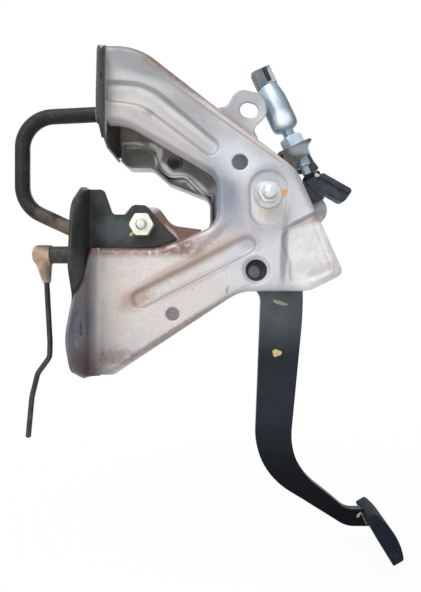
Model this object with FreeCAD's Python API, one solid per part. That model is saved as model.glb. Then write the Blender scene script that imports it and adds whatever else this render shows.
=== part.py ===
"""Brake pedal assembly: pressed steel bracket, hanging pedal, stop lamp switch, stay hoop and link rod.

Frame: X runs from the dash panel to the driver, Y across the car, Z up.
The origin lies on the dash face, midway between the two lower dash bolts. All sizes are in millimetres.
"""
import FreeCAD, Part
import math
import os

from FreeCAD import Vector

# Side plates, pressed from one sheet each
SHEET = 2.0
PLATE_GAP = 56.0
EDGE_DEPTH = 12.0
EDGE_BEND = 5.0
CORNER = 5.8

# Dash faces: the lower bolt face is at X = 0, the upper one is set back
UPPER_DASH_X = 14.0
UPPER_BEND = 1.5
LOWER_BEND = 8.0
DASH_HOLE_D = 10.5
DASH_HOLE_Y = 60.0
UPPER_HOLE_D = 8.5
UPPER_HOLE_Y = 41.0
UPPER_HOLE_Z = 188.0
BOLT_SEAT_R = 14.0
BOLT_SEAT_H = 1.6

# Outline of the side plates
TIE_LOW_Z = 143.6
EDGE_OVER_PIVOT = 37.6
BOTTOM_Z = -39.0
BOTTOM_FLAT = 9.8
TOP_BREAK_X = 41.4
SLOPE = 37.8
RIGHT_X = 166.8
TOE_X = 203.9
TOE_Z = 40.8
HEEL_X = 176.4
BELLY_X = 122.0
BELLY_Z = 27.1
LIP_Z = 60.8
UPPER_LIP_Z = 159.7
MOUTH_X = 103.8
FAR_MOUTH_X = 97.0

# Pressed-in beads, pivot land and corner panel
BEAD_DEPTH = 3.0
LAND_DEPTH = 1.5
PANEL_DEPTH = 2.2
SKIRT_SET = 4.0

# Pivot, hub and bushes
PIVOT_X = 143.8
PIVOT_Z = 103.0
PIVOT_BOLT_D = 10.0
BOLT_CLEARANCE = 0.4
SLEEVE_D = 15.0
SLEEVE_WALL = 2.4
RUNNING_FIT = 0.06
SIDE_PLAY = 0.3
BUSH_WALL = 3.0
BUSH_LENGTH = 14.0
BUSH_FLANGE = 1.5
HUB_WALL = 2.6
NUT_FLANGE_R = 11.0
NUT_FLAT = 15.0
NUT_H = 10.0
BOLT_PROUD = 10.5
HEAD_FLAT = 14.0
HEAD_H = 7.0
WASHER_R = 12.0
WASHER_T = 2.0

# Pedal arm, a flat bar set over to the far side below the crease
ARM_T = 8.0
ARM_SET = 25.0
CREASE_Z = -87.0
SET_END_Z = -150.0
ARM_EYE_R = 20.0
ARM_TIP_TOP_Z = -164.5
ARM_TIP_LOW_Z = -179.2
NOTCH_CLEARANCE = 0.3
CLEVIS_X = 134.6
CLEVIS_Z = 43.5
CLEVIS_BORE_D = 10.2
CLEVIS_EYE_R = 13.0
LEVER_T = 4.0
LEVER_END_X = 183.4
LEVER_END_Z = 95.6
LEVER_END_R = 12.8

# Pedal pad
PAD_X = 245.6
PAD_Z = -184.4
PAD_LEAN = 60.0
PAD_LENGTH = 47.0
PAD_WIDTH = 48.0
PAD_CORNER = 8.0
PAD_PLATE_T = 3.0
RUBBER_FACE = 9.8
RUBBER_END = 5.0
RUBBER_LIP = 4.0
RUBBER_BACK = 1.5
TREAD_PITCH = 8.0
TREAD_GROOVE = 2.6
TREAD_DEPTH = 2.0

# Stop lamp switch, set along its own axis above the point where it meets the pedal
STRIKE_X = 179.5
STRIKE_Z = 124.0
SWITCH_LEAN = 24.7
PLUNGER_D = 7.0
PLUNGER_SHOW = 8.0
PLUNGER_INSIDE = 12.0
BARREL_D = 12.0
CAN_D = 22.6
CAN_START = 41.5
CAN_LENGTH = 39.5
CAN_ROUND = 5.0
CAN_SHOULDER = 19.0
CAN_MOUTH_R = 8.8
PLUG_LENGTH = 15.0
PLUG_W = 16.5
PLUG_T = 13.0
PLUG_WALL = 1.6
PLUG_DEPTH = 12.0
TERMINAL_H = 6.0
LATCH_W = 3.0
LATCH_OFFSET = 2.6
SWITCH_SHEET = 2.5
SWITCH_PLATE_AT = 25.5
SWITCH_PLATE_HALF = 13.0
LOCKNUT_FLAT = 17.0
LOCKNUT_H = 7.0
TOP_NUT_H = 9.5
CUSHION_T = 4.0
WEB_T = 4.0

# Black dash bracket, stay hoop and hanging link
BRACKET_SHEET = 2.5
BRACKET_TOP = 107.8
BRACKET_BEND = 2.0
BRACKET_FOOT = 46.0
HOOP_Y = -42.0
HOOP_D = 11.2
PIN_Z = 54.3
BOSS_D = 13.0
BOSS_LENGTH = 20.6
PIN_D = 8.0
SOCKET_D = 15.0
SOCKET_LENGTH = 13.2
ROD_D = 4.0
ROD_TIP_X = -38.8
ROD_TIP_Z = -83.7
STUD_X = 44.6
STUD_Z = 79.2
STUD_D = 8.0
STUD_NUT_FLAT = 17.0
STUD_NUT_H = 8.0

# Access and gauge holes in the side plates
ACCESS_D = 17.0
ACCESS_ROUND = 3.0
ACCESS_COLLAR = 5.0
GAUGE_HOLES = ((121.7, 127.7, 12.5), (69.1, 9.2, 10.5))
CUP_X = 65.4
CUP_Z = 142.3
CUP_D = 10.5
CUP_DEPTH = 4.5

HALF = PLATE_GAP / 2 + SHEET
TOP_Z = PIVOT_Z + EDGE_OVER_PIVOT + (PIVOT_X - TOP_BREAK_X) * math.tan(math.radians(SLOPE))
TAB_SET = EDGE_DEPTH - SHEET
LAND_Y = PLATE_GAP / 2 - LAND_DEPTH
HUB_HALF = LAND_Y - SIDE_PLAY - BUSH_FLANGE
HUB_BORE_D = SLEEVE_D + 2 * BUSH_WALL
HUB_D = HUB_BORE_D + 2 * HUB_WALL
X_AXIS = Vector(1, 0, 0)
Y_AXIS = Vector(0, 1, 0)
Z_AXIS = Vector(0, 0, 1)


def in_xz(y):
    """Place a flat outline in a plane across Y."""
    return lambda a, b: Vector(a, y, b)


def in_yz(x):
    """Place a flat outline in a plane across X."""
    return lambda a, b: Vector(x, a, b)


def in_xy(z):
    """Place a flat outline in a level plane."""
    return lambda a, b: Vector(a, b, z)


def outline(corners, place):
    """Closed wire through corners (a, b) or (a, b, radius), with round corners as tangent arcs."""
    starts, ends, middles = [], [], []
    count = len(corners)
    for i, corner in enumerate(corners):
        before = corners[i - 1]
        after = corners[(i + 1) % count]
        at = Vector(corner[0], corner[1], 0)
        radius = corner[2] if len(corner) > 2 else 0.0
        to_before = (Vector(before[0], before[1], 0) - at).normalize()
        to_after = (Vector(after[0], after[1], 0) - at).normalize()
        if radius == 0.0:
            starts.append(at)
            ends.append(at)
            middles.append(None)
            continue
        half_angle = to_before.getAngle(to_after) / 2
        run = radius / math.tan(half_angle)
        towards_centre = (to_before + to_after).normalize()
        centre = at + towards_centre * (radius / math.sin(half_angle))
        starts.append(at + to_before * run)
        ends.append(at + to_after * run)
        middles.append(centre - towards_centre * radius)
    edges = []
    for i in range(count):
        if middles[i] is not None:
            arc = [place(p.x, p.y) for p in (starts[i], middles[i], ends[i])]
            edges.append(Part.Arc(*arc).toShape())
        line_from = place(ends[i].x, ends[i].y)
        line_to = place(starts[(i + 1) % count].x, starts[(i + 1) % count].y)
        if line_from.distanceToPoint(line_to) > 1e-6:
            edges.append(Part.makeLine(line_from, line_to))
    return Part.Wire(edges)


def slab(corners, place, push):
    """Solid from an outline, pushed along a vector."""
    return Part.Face(outline(corners, place)).extrude(push)


def across(corners, y_from, y_to):
    """Solid from an outline drawn in X and Z, between two Y positions."""
    return slab(corners, in_xz(y_from), Y_AXIS * (y_to - y_from))


def disc(x, z, diameter, y_from, y_to):
    """Round solid along Y."""
    return Part.makeCylinder(diameter / 2, y_to - y_from, Vector(x, y_from, z), Y_AXIS)


def hexagon(centre, along, flat, height):
    """Hexagonal prism with one pair of corners across the X direction as far as its axis allows."""
    side = X_AXIS if abs(along.dot(X_AXIS)) < 0.9 else Y_AXIS
    first = (side - along * side.dot(along)).normalize()
    second = along.cross(first)
    reach = flat / math.sqrt(3)
    points = []
    for k in range(7):
        turn = math.radians(60 * k)
        points.append(centre + first * (reach * math.cos(turn)) + second * (reach * math.sin(turn)))
    prism = Part.Face(Part.makePolygon(points)).extrude(along * height)
    top = Part.makeCone(reach + height * 0.6, reach * 0.93, height, centre, along)
    return prism.common(top)


def swept_rod(points, diameter):
    """Round bar along a route of (x, y, z, bend radius) points."""
    vectors = [Vector(*p[:3]) for p in points]
    edges = []
    at = vectors[0]
    for i in range(1, len(points) - 1):
        back = (vectors[i - 1] - vectors[i]).normalize()
        on = (vectors[i + 1] - vectors[i]).normalize()
        half_angle = back.getAngle(on) / 2
        radius = points[i][3]
        run = radius / math.tan(half_angle)
        inward = (back + on).normalize()
        middle = vectors[i] + inward * (radius / math.sin(half_angle) - radius)
        start = vectors[i] + back * run
        end = vectors[i] + on * run
        edges.append(Part.makeLine(at, start))
        edges.append(Part.Arc(start, middle, end).toShape())
        at = end
    edges.append(Part.makeLine(at, vectors[-1]))
    path = Part.Wire(edges)
    heading = (vectors[1] - vectors[0]).normalize()
    ring = Part.Wire(Part.makeCircle(diameter / 2, vectors[0], heading))
    return path.makePipe(Part.Face(ring))


def edges_at_y(shape, y):
    """Edges that lie wholly in the plane across Y at y."""
    found = []
    for edge in shape.Edges:
        box = edge.BoundBox
        if abs(box.YMin - y) < 1e-3 and abs(box.YMax - y) < 1e-3:
            found.append(edge)
    return found


def clean(shape):
    """One tidy solid: joined flush faces merged."""
    merged = shape.removeSplitter()
    solids = merged.Solids
    return solids[0] if len(solids) == 1 else Part.makeCompound(solids)


def slope_z(x):
    """Height of the sloping top edge of the side plates."""
    return TOP_Z - (x - TOP_BREAK_X) * math.tan(math.radians(SLOPE))


def plate_corners(lower_bend_x, lip):
    """Side plate outline; the left ends stop where the dash flanges start to bend."""
    upper_bend_x = UPPER_DASH_X + SHEET + UPPER_BEND
    top = [
        (upper_bend_x, TOP_Z),
        (TOP_BREAK_X, TOP_Z, 50),
        (RIGHT_X, slope_z(RIGHT_X), 30),
        (TOE_X, TOE_Z, CORNER),
        (HEEL_X, BELLY_Z, 25),
        (BELLY_X, BELLY_Z, 36),
        (lower_bend_x + BOTTOM_FLAT, BOTTOM_Z, CORNER),
        (lower_bend_x, BOTTOM_Z),
        (lower_bend_x, LIP_Z),
    ]
    return top + lip


def near_lip():
    """Edge of the mouth in the near plate, from the lower arm round to the upper arm."""
    return [
        (58, LIP_Z, 30),
        (MOUTH_X, LIP_Z + 18.7, 16),
        (MOUTH_X, UPPER_LIP_Z - 42, 16),
        (31, UPPER_LIP_Z, 35),
        (UPPER_DASH_X + SHEET + UPPER_BEND, UPPER_LIP_Z),
    ]


def far_lip():
    """Edge of the mouth in the far plate, whose upper arm is deeper and steps twice."""
    return [
        (58, LIP_Z, 30),
        (FAR_MOUTH_X, LIP_Z + 18, 16),
        (FAR_MOUTH_X, 107, 10),
        (61, 121.5, 9),
        (46, 134.8, 8),
        (26, 134.8, 7),
        (UPPER_DASH_X + SHEET + UPPER_BEND, 143),
    ]


def pan(corners):
    """Pressed pan: outer face at y = 0, edges turned in towards +Y, left ends open."""
    outer = slab(corners, in_xz(0), Y_AXIS * EDGE_DEPTH)
    left_x = min(c[0] for c in corners)
    upper_x = UPPER_DASH_X + SHEET + UPPER_BEND
    rim = []
    for edge in outer.Edges:
        box = edge.BoundBox
        flat_front = box.YMax < 1e-4
        left_end = box.XLength < 0.1 and (box.XMax < left_x + 0.1 or abs(box.XMax - upper_x) < 0.1)
        if flat_front and not left_end:
            rim.append(edge)
    outer = outer.makeFillet(EDGE_BEND, rim)
    stretched = []
    for corner in corners:
        at_end = corner[0] < left_x + 0.1 or abs(corner[0] - upper_x) < 1e-6
        shifted = corner[0] - 30 if at_end else corner[0]
        stretched.append((shifted,) + tuple(corner[1:]))
    inside = Part.Face(outline(stretched, in_xz(SHEET))).makeOffset2D(-SHEET)
    inner = inside.extrude(Y_AXIS * EDGE_DEPTH)
    inner_rim = []
    for edge in inner.Edges:
        box = edge.BoundBox
        open_end = box.XLength < 0.1 and box.XMax < 0
        if box.YMax < SHEET + 1e-4 and not open_end:
            inner_rim.append(edge)
    inner = inner.makeChamfer((EDGE_BEND - SHEET) * 0.6, inner_rim)
    return outer.cut(inner)


def dash_flange(dash_x, bend, corners, sheet=SHEET):
    """Flange turned out of the plate onto the dash, trimmed to an outline drawn in Y and Z."""
    bend_x = dash_x + sheet + bend
    reach = -min(c[0] for c in corners)
    low = min(c[1] for c in corners)
    high = max(c[1] for c in corners)
    section = [
        (bend_x, sheet),
        (bend_x, 0),
        (dash_x + sheet, 0, bend),
        (dash_x + sheet, -reach),
        (dash_x, -reach),
        (dash_x, sheet, bend + sheet),
    ]
    strip = slab(section, in_xy(low), Z_AXIS * (high - low))
    trim = slab(corners, in_yz(dash_x - 1), X_AXIS * (sheet + bend + 2))
    return strip.common(trim)


def upper_flange():
    """Outline of the narrow upper dash flange."""
    low = UPPER_LIP_Z - 13
    return [
        (SHEET, TOP_Z - 1.5),
        (-1, TOP_Z - 1.5, 2),
        (-16, TOP_Z - 9, 8),
        (-19.8, UPPER_LIP_Z + 8, 30),
        (-17.5, UPPER_LIP_Z - 1, 7),
        (-1, low, 3),
        (SHEET, low),
    ]


def lower_flange():
    """Outline of the broad lower dash flange, with room for the bolt."""
    return [
        (SHEET, LIP_Z),
        (-1, LIP_Z, 2),
        (-8.5, 38, 20),
        (-40, 21.5, 22),
        (-57.5, -5, 16),
        (-45, -28.9, 16),
        (-12, BOTTOM_Z, 10),
        (SHEET, BOTTOM_Z),
    ]


def pressed(plate, corners, depth, stop_x=None):
    """Press an outline into the plate from its outer face, with flanks at 45 degrees.

    With stop_x the pressing is cut off square there, where the dash bend begins.
    """
    drawn = Part.Face(outline(corners, in_xz(0)))
    back = depth / 2 + SHEET * (math.sqrt(2) - 1)
    bump = drawn.makeOffset2D(back).extrude(Y_AXIS * (depth + SHEET / 2))
    bump.translate(Y_AXIS * (SHEET / 2))
    bump = bump.makeChamfer(depth, edges_at_y(bump, depth + SHEET))
    pocket = drawn.makeOffset2D(depth / 2).extrude(Y_AXIS * (depth + 1))
    pocket.translate(Y_AXIS * -1)
    pocket = pocket.makeChamfer(depth, edges_at_y(pocket, depth))
    if stop_x is not None:
        bump = bump.common(Part.makeBox(300, 20, 400, Vector(stop_x - SHEET, -5, -100)))
        pocket = pocket.common(Part.makeBox(300, 20, 400, Vector(stop_x, -5, -100)))
    return plate.fuse(bump).cut(pocket)


def capsule(x0, z0, x1, z1, radius):
    """Corners of a straight bead between two points, with full round ends."""
    along = Vector(x1 - x0, z1 - z0, 0).normalize()
    side = Vector(-along.y, along.x, 0)
    tip = radius * 0.999
    corners = []
    for x, z, way in ((x1, z1, 1), (x0, z0, -1)):
        end = Vector(x, z, 0) + along * (radius * way)
        corners.append((end.x + side.x * radius * way, end.y + side.y * radius * way, tip))
        corners.append((end.x - side.x * radius * way, end.y - side.y * radius * way, tip))
    return corners


def upper_bead():
    """Curved bead along the upper arm; it runs on past the dash bend, where it is cut off."""
    return [
        (-12, 192.2, 5),
        (49.5, 189, 45),
        (109.5, 138.8, 5.8),
        (97.8, 132.9, 5.8),
        (44.5, 173.2, 40),
        (-12, 179.5, 5),
    ]


def corner_panel():
    """Sunk panel at the lower right corner of the side plates."""
    return [
        (177.5, 83, 4),
        (160.6, 76, 6),
        (154.6, 69.6, 6),
        (155.6, 61.5, 8),
        (160.6, 49.5, 12),
        (161, 35, 3),
        (176.5, 35, 12),
        (193.3, 43, 4),
    ]


def pivot_land():
    """Land round the pivot, wide at the nut and narrower below it."""
    return [
        (PIVOT_X - 15.4, PIVOT_Z + 18.4, 14.4),
        (PIVOT_X + 16.8, PIVOT_Z + 18.4, 14.4),
        (PIVOT_X + 11.9, PIVOT_Z - 24.8, 12),
        (PIVOT_X - 13.8, PIVOT_Z - 24.8, 12),
    ]


def side_plate(dash_x, lip, tabs):
    """One side plate in its own place: outer face at y = 0, inside towards +Y."""
    corners = plate_corners(dash_x + SHEET + LOWER_BEND, lip)
    plate = pan(corners)
    plate = plate.fuse(dash_flange(UPPER_DASH_X, UPPER_BEND, upper_flange()))
    plate = plate.fuse(dash_flange(dash_x, LOWER_BEND, lower_flange()))
    for tab in tabs:
        plate = plate.fuse(across(tab, TAB_SET, EDGE_DEPTH))
    plate = pressed(plate, upper_bead(), BEAD_DEPTH, UPPER_DASH_X + SHEET + UPPER_BEND)
    plate = pressed(plate, capsule(44, 20.9, 127, 63.1, 6.5), BEAD_DEPTH)
    plate = pressed(plate, pivot_land(), LAND_DEPTH)
    plate = pressed(plate, corner_panel(), PANEL_DEPTH)
    plate = plate.cut(disc(PIVOT_X, PIVOT_Z, PIVOT_BOLT_D + BOLT_CLEARANCE, -1, EDGE_DEPTH))
    seat_at = Vector(dash_x + SHEET - 0.1, -(DASH_HOLE_Y - HALF), 0)
    plate = plate.fuse(Part.makeCone(BOLT_SEAT_R, BOLT_SEAT_R - BOLT_SEAT_H, BOLT_SEAT_H + 0.1, seat_at, X_AXIS))
    lower_hole = Vector(dash_x - 1, -(DASH_HOLE_Y - HALF), 0)
    plate = plate.cut(Part.makeCylinder(DASH_HOLE_D / 2, 10, lower_hole, X_AXIS))
    upper_hole = Vector(UPPER_DASH_X - 1, -(UPPER_HOLE_Y - HALF), UPPER_HOLE_Z)
    plate = plate.cut(Part.makeCylinder(UPPER_HOLE_D / 2, 6, upper_hole, X_AXIS))
    return plate


def hanger_tab():
    """Ear turned up from the top edge, for the upper hanger screw."""
    return [
        (101, slope_z(101) - 1),
        (112, 175, 6),
        (119.5, 189, 10),
        (142, 184.5, 12),
        (143.6, 168, 8),
        (132.6, 157, 6),
        (139, slope_z(139) - 1),
    ]


def bolt_tab():
    """Ear turned up from the lower edge of the mouth, behind the black bracket."""
    return [
        (30, LIP_Z - 1),
        (30, 94.5, 8),
        (57, 94, 9),
        (67.5, 79.5, 12),
        (91, 76.3),
        (91, LIP_Z + 12.5),
        (58, LIP_Z - 1),
    ]


def access_hole(plate):
    """Collared hole through which the clevis pin is fitted."""
    collar = disc(CLEVIS_X, CLEVIS_Z, ACCESS_D + 2 * SHEET, 1, ACCESS_COLLAR)
    mouth = Part.makeCone(
        ACCESS_D / 2 + ACCESS_ROUND, ACCESS_D / 2, ACCESS_ROUND, Vector(CLEVIS_X, 0, CLEVIS_Z), Y_AXIS
    )
    plate = plate.fuse(collar).cut(mouth)
    return plate.cut(disc(CLEVIS_X, CLEVIS_Z, ACCESS_D, -1, ACCESS_COLLAR + 1))


def make_side_plate_near():
    """Near side plate with both ears and the slotted hanger hole."""
    plate = access_hole(side_plate(BRACKET_SHEET, near_lip(), (hanger_tab(), bolt_tab())))
    slot = disc(128.1, 172.0, 12.4, TAB_SET - 1, EDGE_DEPTH + 1)
    slot = slot.fuse(disc(130.3, 171.4, 12.4, TAB_SET - 1, EDGE_DEPTH + 1))
    plate = plate.cut(slot)
    for x, z, diameter in GAUGE_HOLES:
        plate = plate.cut(disc(x, z, diameter, -1, EDGE_DEPTH))
    plate = plate.cut(disc(STUD_X, STUD_Z, STUD_D + BOLT_CLEARANCE, TAB_SET - 1, EDGE_DEPTH + 1))
    plate.translate(Vector(0, -HALF, 0))
    return clean(plate)


def far_skirt():
    """Band along the far upper arm below its ridge, set outwards."""
    return [
        (UPPER_DASH_X + 4, 159.6),
        (32, 159.6, 12),
        (46, 154.5, 8),
        (52.5, 136.5, 9),
        (61, 129.6, 9),
        (75.5, 130.4, 9),
        (91, 114.5, 6),
        (FAR_MOUTH_X + 3, 113),
        (FAR_MOUTH_X + 3, 90),
        (UPPER_DASH_X + 4, 90),
    ]


def make_side_plate_far():
    """Far side plate, handed the other way, with the deeper stepped upper arm."""
    lip = far_lip()
    plate = side_plate(0.0, lip, ())
    whole = Part.Face(outline(plate_corners(SHEET + LOWER_BEND, lip), in_xz(-SKIRT_SET)))
    band = Part.Face(outline(far_skirt(), in_xz(-SKIRT_SET))).common(whole)
    set_out = band.extrude(Y_AXIS * (SKIRT_SET + EDGE_BEND))
    hollow = band.Faces[0].makeOffset2D(-SHEET)
    hollow.translate(Y_AXIS * SHEET)
    plate = plate.fuse(set_out).cut(hollow.extrude(Y_AXIS * (SKIRT_SET + EDGE_DEPTH)))
    plate = plate.fuse(disc(CUP_X, CUP_Z, CUP_D + 2 * SHEET, -CUP_DEPTH, 1))
    plate = plate.cut(disc(CUP_X, CUP_Z, CUP_D, SHEET - CUP_DEPTH, EDGE_DEPTH))
    plate = plate.mirror(Vector(0, 0, 0), Y_AXIS)
    plate.translate(Vector(0, HALF, 0))
    return clean(plate)


def make_upper_tie_plate(side_plates):
    """Wall between the two upper arms, flush with the dash faces of their flanges."""
    reach = PLATE_GAP / 2 + EDGE_BEND
    corners = [
        (-reach, 208),
        (-reach, 151),
        (-12, TIE_LOW_Z),
        (reach, TIE_LOW_Z),
        (reach, 208),
    ]
    wall = slab(corners, in_yz(UPPER_DASH_X), X_AXIS * SHEET)
    for plate in side_plates:
        wall = wall.cut(plate)
    return clean(max(wall.Solids, key=lambda solid: solid.Volume))


def make_top_bridge():
    """Sheet welded under the top edges of both side plates, down the slope."""
    lean = math.radians(SLOPE)
    along = Vector(math.cos(lean), 0, -math.sin(lean))
    up = Vector(math.sin(lean), 0, math.cos(lean))
    width = PLATE_GAP - 2 * (EDGE_BEND - SHEET) - 0.4
    length = 126.0
    corner = Vector(TOP_BREAK_X, -width / 2, TOP_Z) + along * 22 - up * (2 * SHEET)
    sheet = Part.makeBox(length, width, SHEET)
    turn = FreeCAD.Rotation(Y_AXIS, SLOPE)
    sheet.Placement = FreeCAD.Placement(corner, turn)
    for reach in (34, 66):
        centre = corner + along * reach + Y_AXIS * (width / 2) - up
        sheet = sheet.cut(Part.makeCylinder(9, SHEET + 2, centre, up))
    return sheet


def make_dash_bracket():
    """Black folded plate: one wall against the dash, one bolted to the near plate's ear."""
    front = TAB_SET - BRACKET_SHEET
    bend_x = BRACKET_SHEET + BRACKET_BEND
    floor = LIP_Z + 0.5
    foot_x = BRACKET_SHEET + SHEET + LOWER_BEND - 0.8
    wall = [
        (bend_x, BRACKET_TOP),
        (14, BRACKET_TOP, 4.5),
        (20.8, 88, 4),
        (31.8, 88, 4),
        (36, 95.8, 6),
        (47.5, 95.3, 6),
        (58.2, 82, 10),
        (72, 68.8),
        (55, floor + 1),
        (40, floor),
        (foot_x, floor),
        (foot_x, BRACKET_FOOT, 2),
        (bend_x, BRACKET_FOOT),
    ]
    plate = across(wall, front, TAB_SET)
    dash_wall = [
        (BRACKET_SHEET, BRACKET_TOP),
        (-14, BRACKET_TOP, 26),
        (-43.5, 89, 22),
        (-50, 44, 16),
        (-38.5, 22.5, 8),
        (-49, 4, 12),
        (-44, -20, 12),
        (-24, -31, 10),
        (-6, -31),
        (-6, BRACKET_FOOT),
        (BRACKET_SHEET, BRACKET_FOOT),
    ]
    flange = dash_flange(0.0, BRACKET_BEND, dash_wall, BRACKET_SHEET)
    flange.translate(Y_AXIS * front)
    plate = plate.fuse(flange)
    hole = Vector(-1, -(DASH_HOLE_Y - HALF), 0)
    plate = plate.cut(Part.makeCylinder(DASH_HOLE_D / 2, BRACKET_SHEET + 2, hole, X_AXIS))
    plate = plate.cut(disc(STUD_X, STUD_Z, STUD_D + BOLT_CLEARANCE, front - 1, EDGE_DEPTH))
    plate.translate(Vector(0, -HALF, 0))
    return clean(plate)


def make_bracket_bolt():
    """Bolt through the ear and the black bracket, head on the inside."""
    head_y = EDGE_DEPTH - HALF
    end_y = TAB_SET - BRACKET_SHEET - HALF - STUD_NUT_H - 3.0
    shank = disc(STUD_X, STUD_Z, STUD_D, end_y, head_y)
    head = hexagon(Vector(STUD_X, head_y, STUD_Z), Y_AXIS, 13.0, 5.5)
    tip = Part.makeCone(STUD_D / 2 - 1, STUD_D / 2 + 5, 6, Vector(STUD_X, end_y, STUD_Z), Y_AXIS)
    trimmed = shank.common(tip.fuse(disc(STUD_X, STUD_Z, 30, end_y + 5, head_y + 1)))
    return clean(trimmed.fuse(head))


def make_bracket_nut():
    """Hexagon nut on the near face of the black bracket."""
    seat = TAB_SET - BRACKET_SHEET - HALF
    nut = hexagon(Vector(STUD_X, seat, STUD_Z), Y_AXIS * -1, STUD_NUT_FLAT, STUD_NUT_H)
    return nut.cut(disc(STUD_X, STUD_Z, STUD_D + 2 * RUNNING_FIT, seat - STUD_NUT_H - 1, seat + 1))


def make_stay_hoop():
    """Bent round bar from the upper dash flange to the black bracket."""
    route = (
        (UPPER_DASH_X + 8, HOOP_Y, 160.8, 0),
        (-43, HOOP_Y, 157.6, 24),
        (-43, HOOP_Y, 91.0, 24),
        (9, HOOP_Y, 67, 0),
    )
    bar = swept_rod(route, HOOP_D)
    reach = Part.makeBox(90, 40, 60, Vector(UPPER_DASH_X - 90, HOOP_Y - 20, 125))
    lower = Part.makeBox(90, 40, 85, Vector(-90, HOOP_Y - 20, 45))
    return clean(bar.common(reach.fuse(lower)))


def make_link_pin():
    """Shouldered pin on the dash wall of the black bracket, which carries the link."""
    boss = Part.makeCylinder(BOSS_D / 2, BOSS_LENGTH, Vector(-BOSS_LENGTH, HOOP_Y, PIN_Z), X_AXIS)
    length = SOCKET_LENGTH - 2.0
    pin_at = Vector(-BOSS_LENGTH - length, HOOP_Y, PIN_Z)
    pin = Part.makeCylinder(PIN_D / 2, length, pin_at, X_AXIS)
    return clean(boss.fuse(pin))


def make_rod_socket():
    """Moulded elbow that hangs on the pin and holds the rod."""
    face_x = -BOSS_LENGTH - SIDE_PLAY
    back_x = face_x - SOCKET_LENGTH
    barrel = Part.makeCylinder(SOCKET_D / 2, SOCKET_LENGTH, Vector(back_x, HOOP_Y, PIN_Z), X_AXIS)
    barrel = barrel.makeChamfer(2.0, [e for e in barrel.Edges if e.BoundBox.XMax < back_x + 0.1])
    top = Vector(back_x + SOCKET_LENGTH * 0.5, HOOP_Y, PIN_Z)
    foot = Vector(-24.6, HOOP_Y, PIN_Z - 21.3)
    stem_axis = foot - top
    stem = Part.makeCone(SOCKET_D * 0.48, ROD_D / 2 + 0.9, stem_axis.Length, top, stem_axis)
    socket = barrel.fuse(stem)
    bore = Vector(face_x - SOCKET_LENGTH + 1.5, HOOP_Y, PIN_Z)
    socket = socket.cut(Part.makeCylinder(PIN_D / 2 + RUNNING_FIT, SOCKET_LENGTH, bore, X_AXIS))
    return clean(socket.cut(swept_rod(rod_route(), ROD_D + 0.04)))


def rod_route():
    """Route of the thin link rod, from inside the elbow to its tip."""
    return (
        (-25.2, HOOP_Y, PIN_Z - 13, 0),
        (-22.3, HOOP_Y, -12, 40),
        (-22.6, HOOP_Y, -23, 8),
        (-31.6, HOOP_Y, -35.2, 12),
        (-36.0, HOOP_Y, -53, 40),
        (ROD_TIP_X, HOOP_Y, ROD_TIP_Z, 0),
    )


def make_link_rod():
    """Thin cranked rod with a round tip."""
    rod = swept_rod(rod_route(), ROD_D)
    end = [e for e in rod.Edges if e.BoundBox.ZMax < ROD_TIP_Z + 2]
    return rod.makeChamfer(ROD_D / 5, end)


def make_pivot_bolt():
    """Pivot bolt with its head on the far side and a domed end on the near side."""
    far_face = HALF - LAND_DEPTH
    near_end = -(HALF - LAND_DEPTH) - NUT_H - BOLT_PROUD
    shank = disc(PIVOT_X, PIVOT_Z, PIVOT_BOLT_D, near_end, far_face + WASHER_T)
    dome = Part.makeSphere(PIVOT_BOLT_D * 0.62, Vector(PIVOT_X, near_end + PIVOT_BOLT_D * 0.62, PIVOT_Z))
    stay = dome.fuse(disc(PIVOT_X, PIVOT_Z, 20, near_end + PIVOT_BOLT_D * 0.45, far_face + WASHER_T))
    flange = Part.makeCone(
        10.5, 8, 2.5, Vector(PIVOT_X, far_face + WASHER_T, PIVOT_Z), Y_AXIS
    )
    head = hexagon(Vector(PIVOT_X, far_face + WASHER_T, PIVOT_Z), Y_AXIS, HEAD_FLAT, HEAD_H)
    return clean(shank.common(stay).fuse(flange).fuse(head))


def make_pivot_washer():
    """Plain washer under the head of the pivot bolt."""
    face = HALF - LAND_DEPTH
    ring = disc(PIVOT_X, PIVOT_Z, 2 * WASHER_R, face, face + WASHER_T)
    return ring.cut(disc(PIVOT_X, PIVOT_Z, PIVOT_BOLT_D + BOLT_CLEARANCE, face - 1, face + WASHER_T + 1))


def make_pivot_nut():
    """Flanged nut on the near pivot land."""
    seat = -(HALF - LAND_DEPTH)
    at = Vector(PIVOT_X, seat, PIVOT_Z)
    flange = Part.makeCylinder(NUT_FLANGE_R, 1.4, at, Y_AXIS * -1)
    shoulder = Part.makeCone(NUT_FLANGE_R, NUT_FLAT / 2, 3.0, at - Y_AXIS * 1.4, Y_AXIS * -1)
    nut = flange.fuse(shoulder).fuse(hexagon(at, Y_AXIS * -1, NUT_FLAT, NUT_H))
    return clean(nut.cut(disc(PIVOT_X, PIVOT_Z, PIVOT_BOLT_D + 2 * RUNNING_FIT, seat - NUT_H - 1, seat + 1)))


def make_pivot_sleeve():
    """Spacer tube clamped between the two pivot lands."""
    tube = disc(PIVOT_X, PIVOT_Z, SLEEVE_D, -LAND_Y, LAND_Y)
    return tube.cut(disc(PIVOT_X, PIVOT_Z, SLEEVE_D - 2 * SLEEVE_WALL, -LAND_Y - 1, LAND_Y + 1))


def make_hub_tube():
    """Tube of the pedal that turns on the bushes."""
    tube = disc(PIVOT_X, PIVOT_Z, HUB_D, -HUB_HALF, HUB_HALF)
    bore = disc(PIVOT_X, PIVOT_Z, HUB_BORE_D + 2 * RUNNING_FIT, -HUB_HALF - 1, HUB_HALF + 1)
    return tube.cut(bore)


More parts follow.
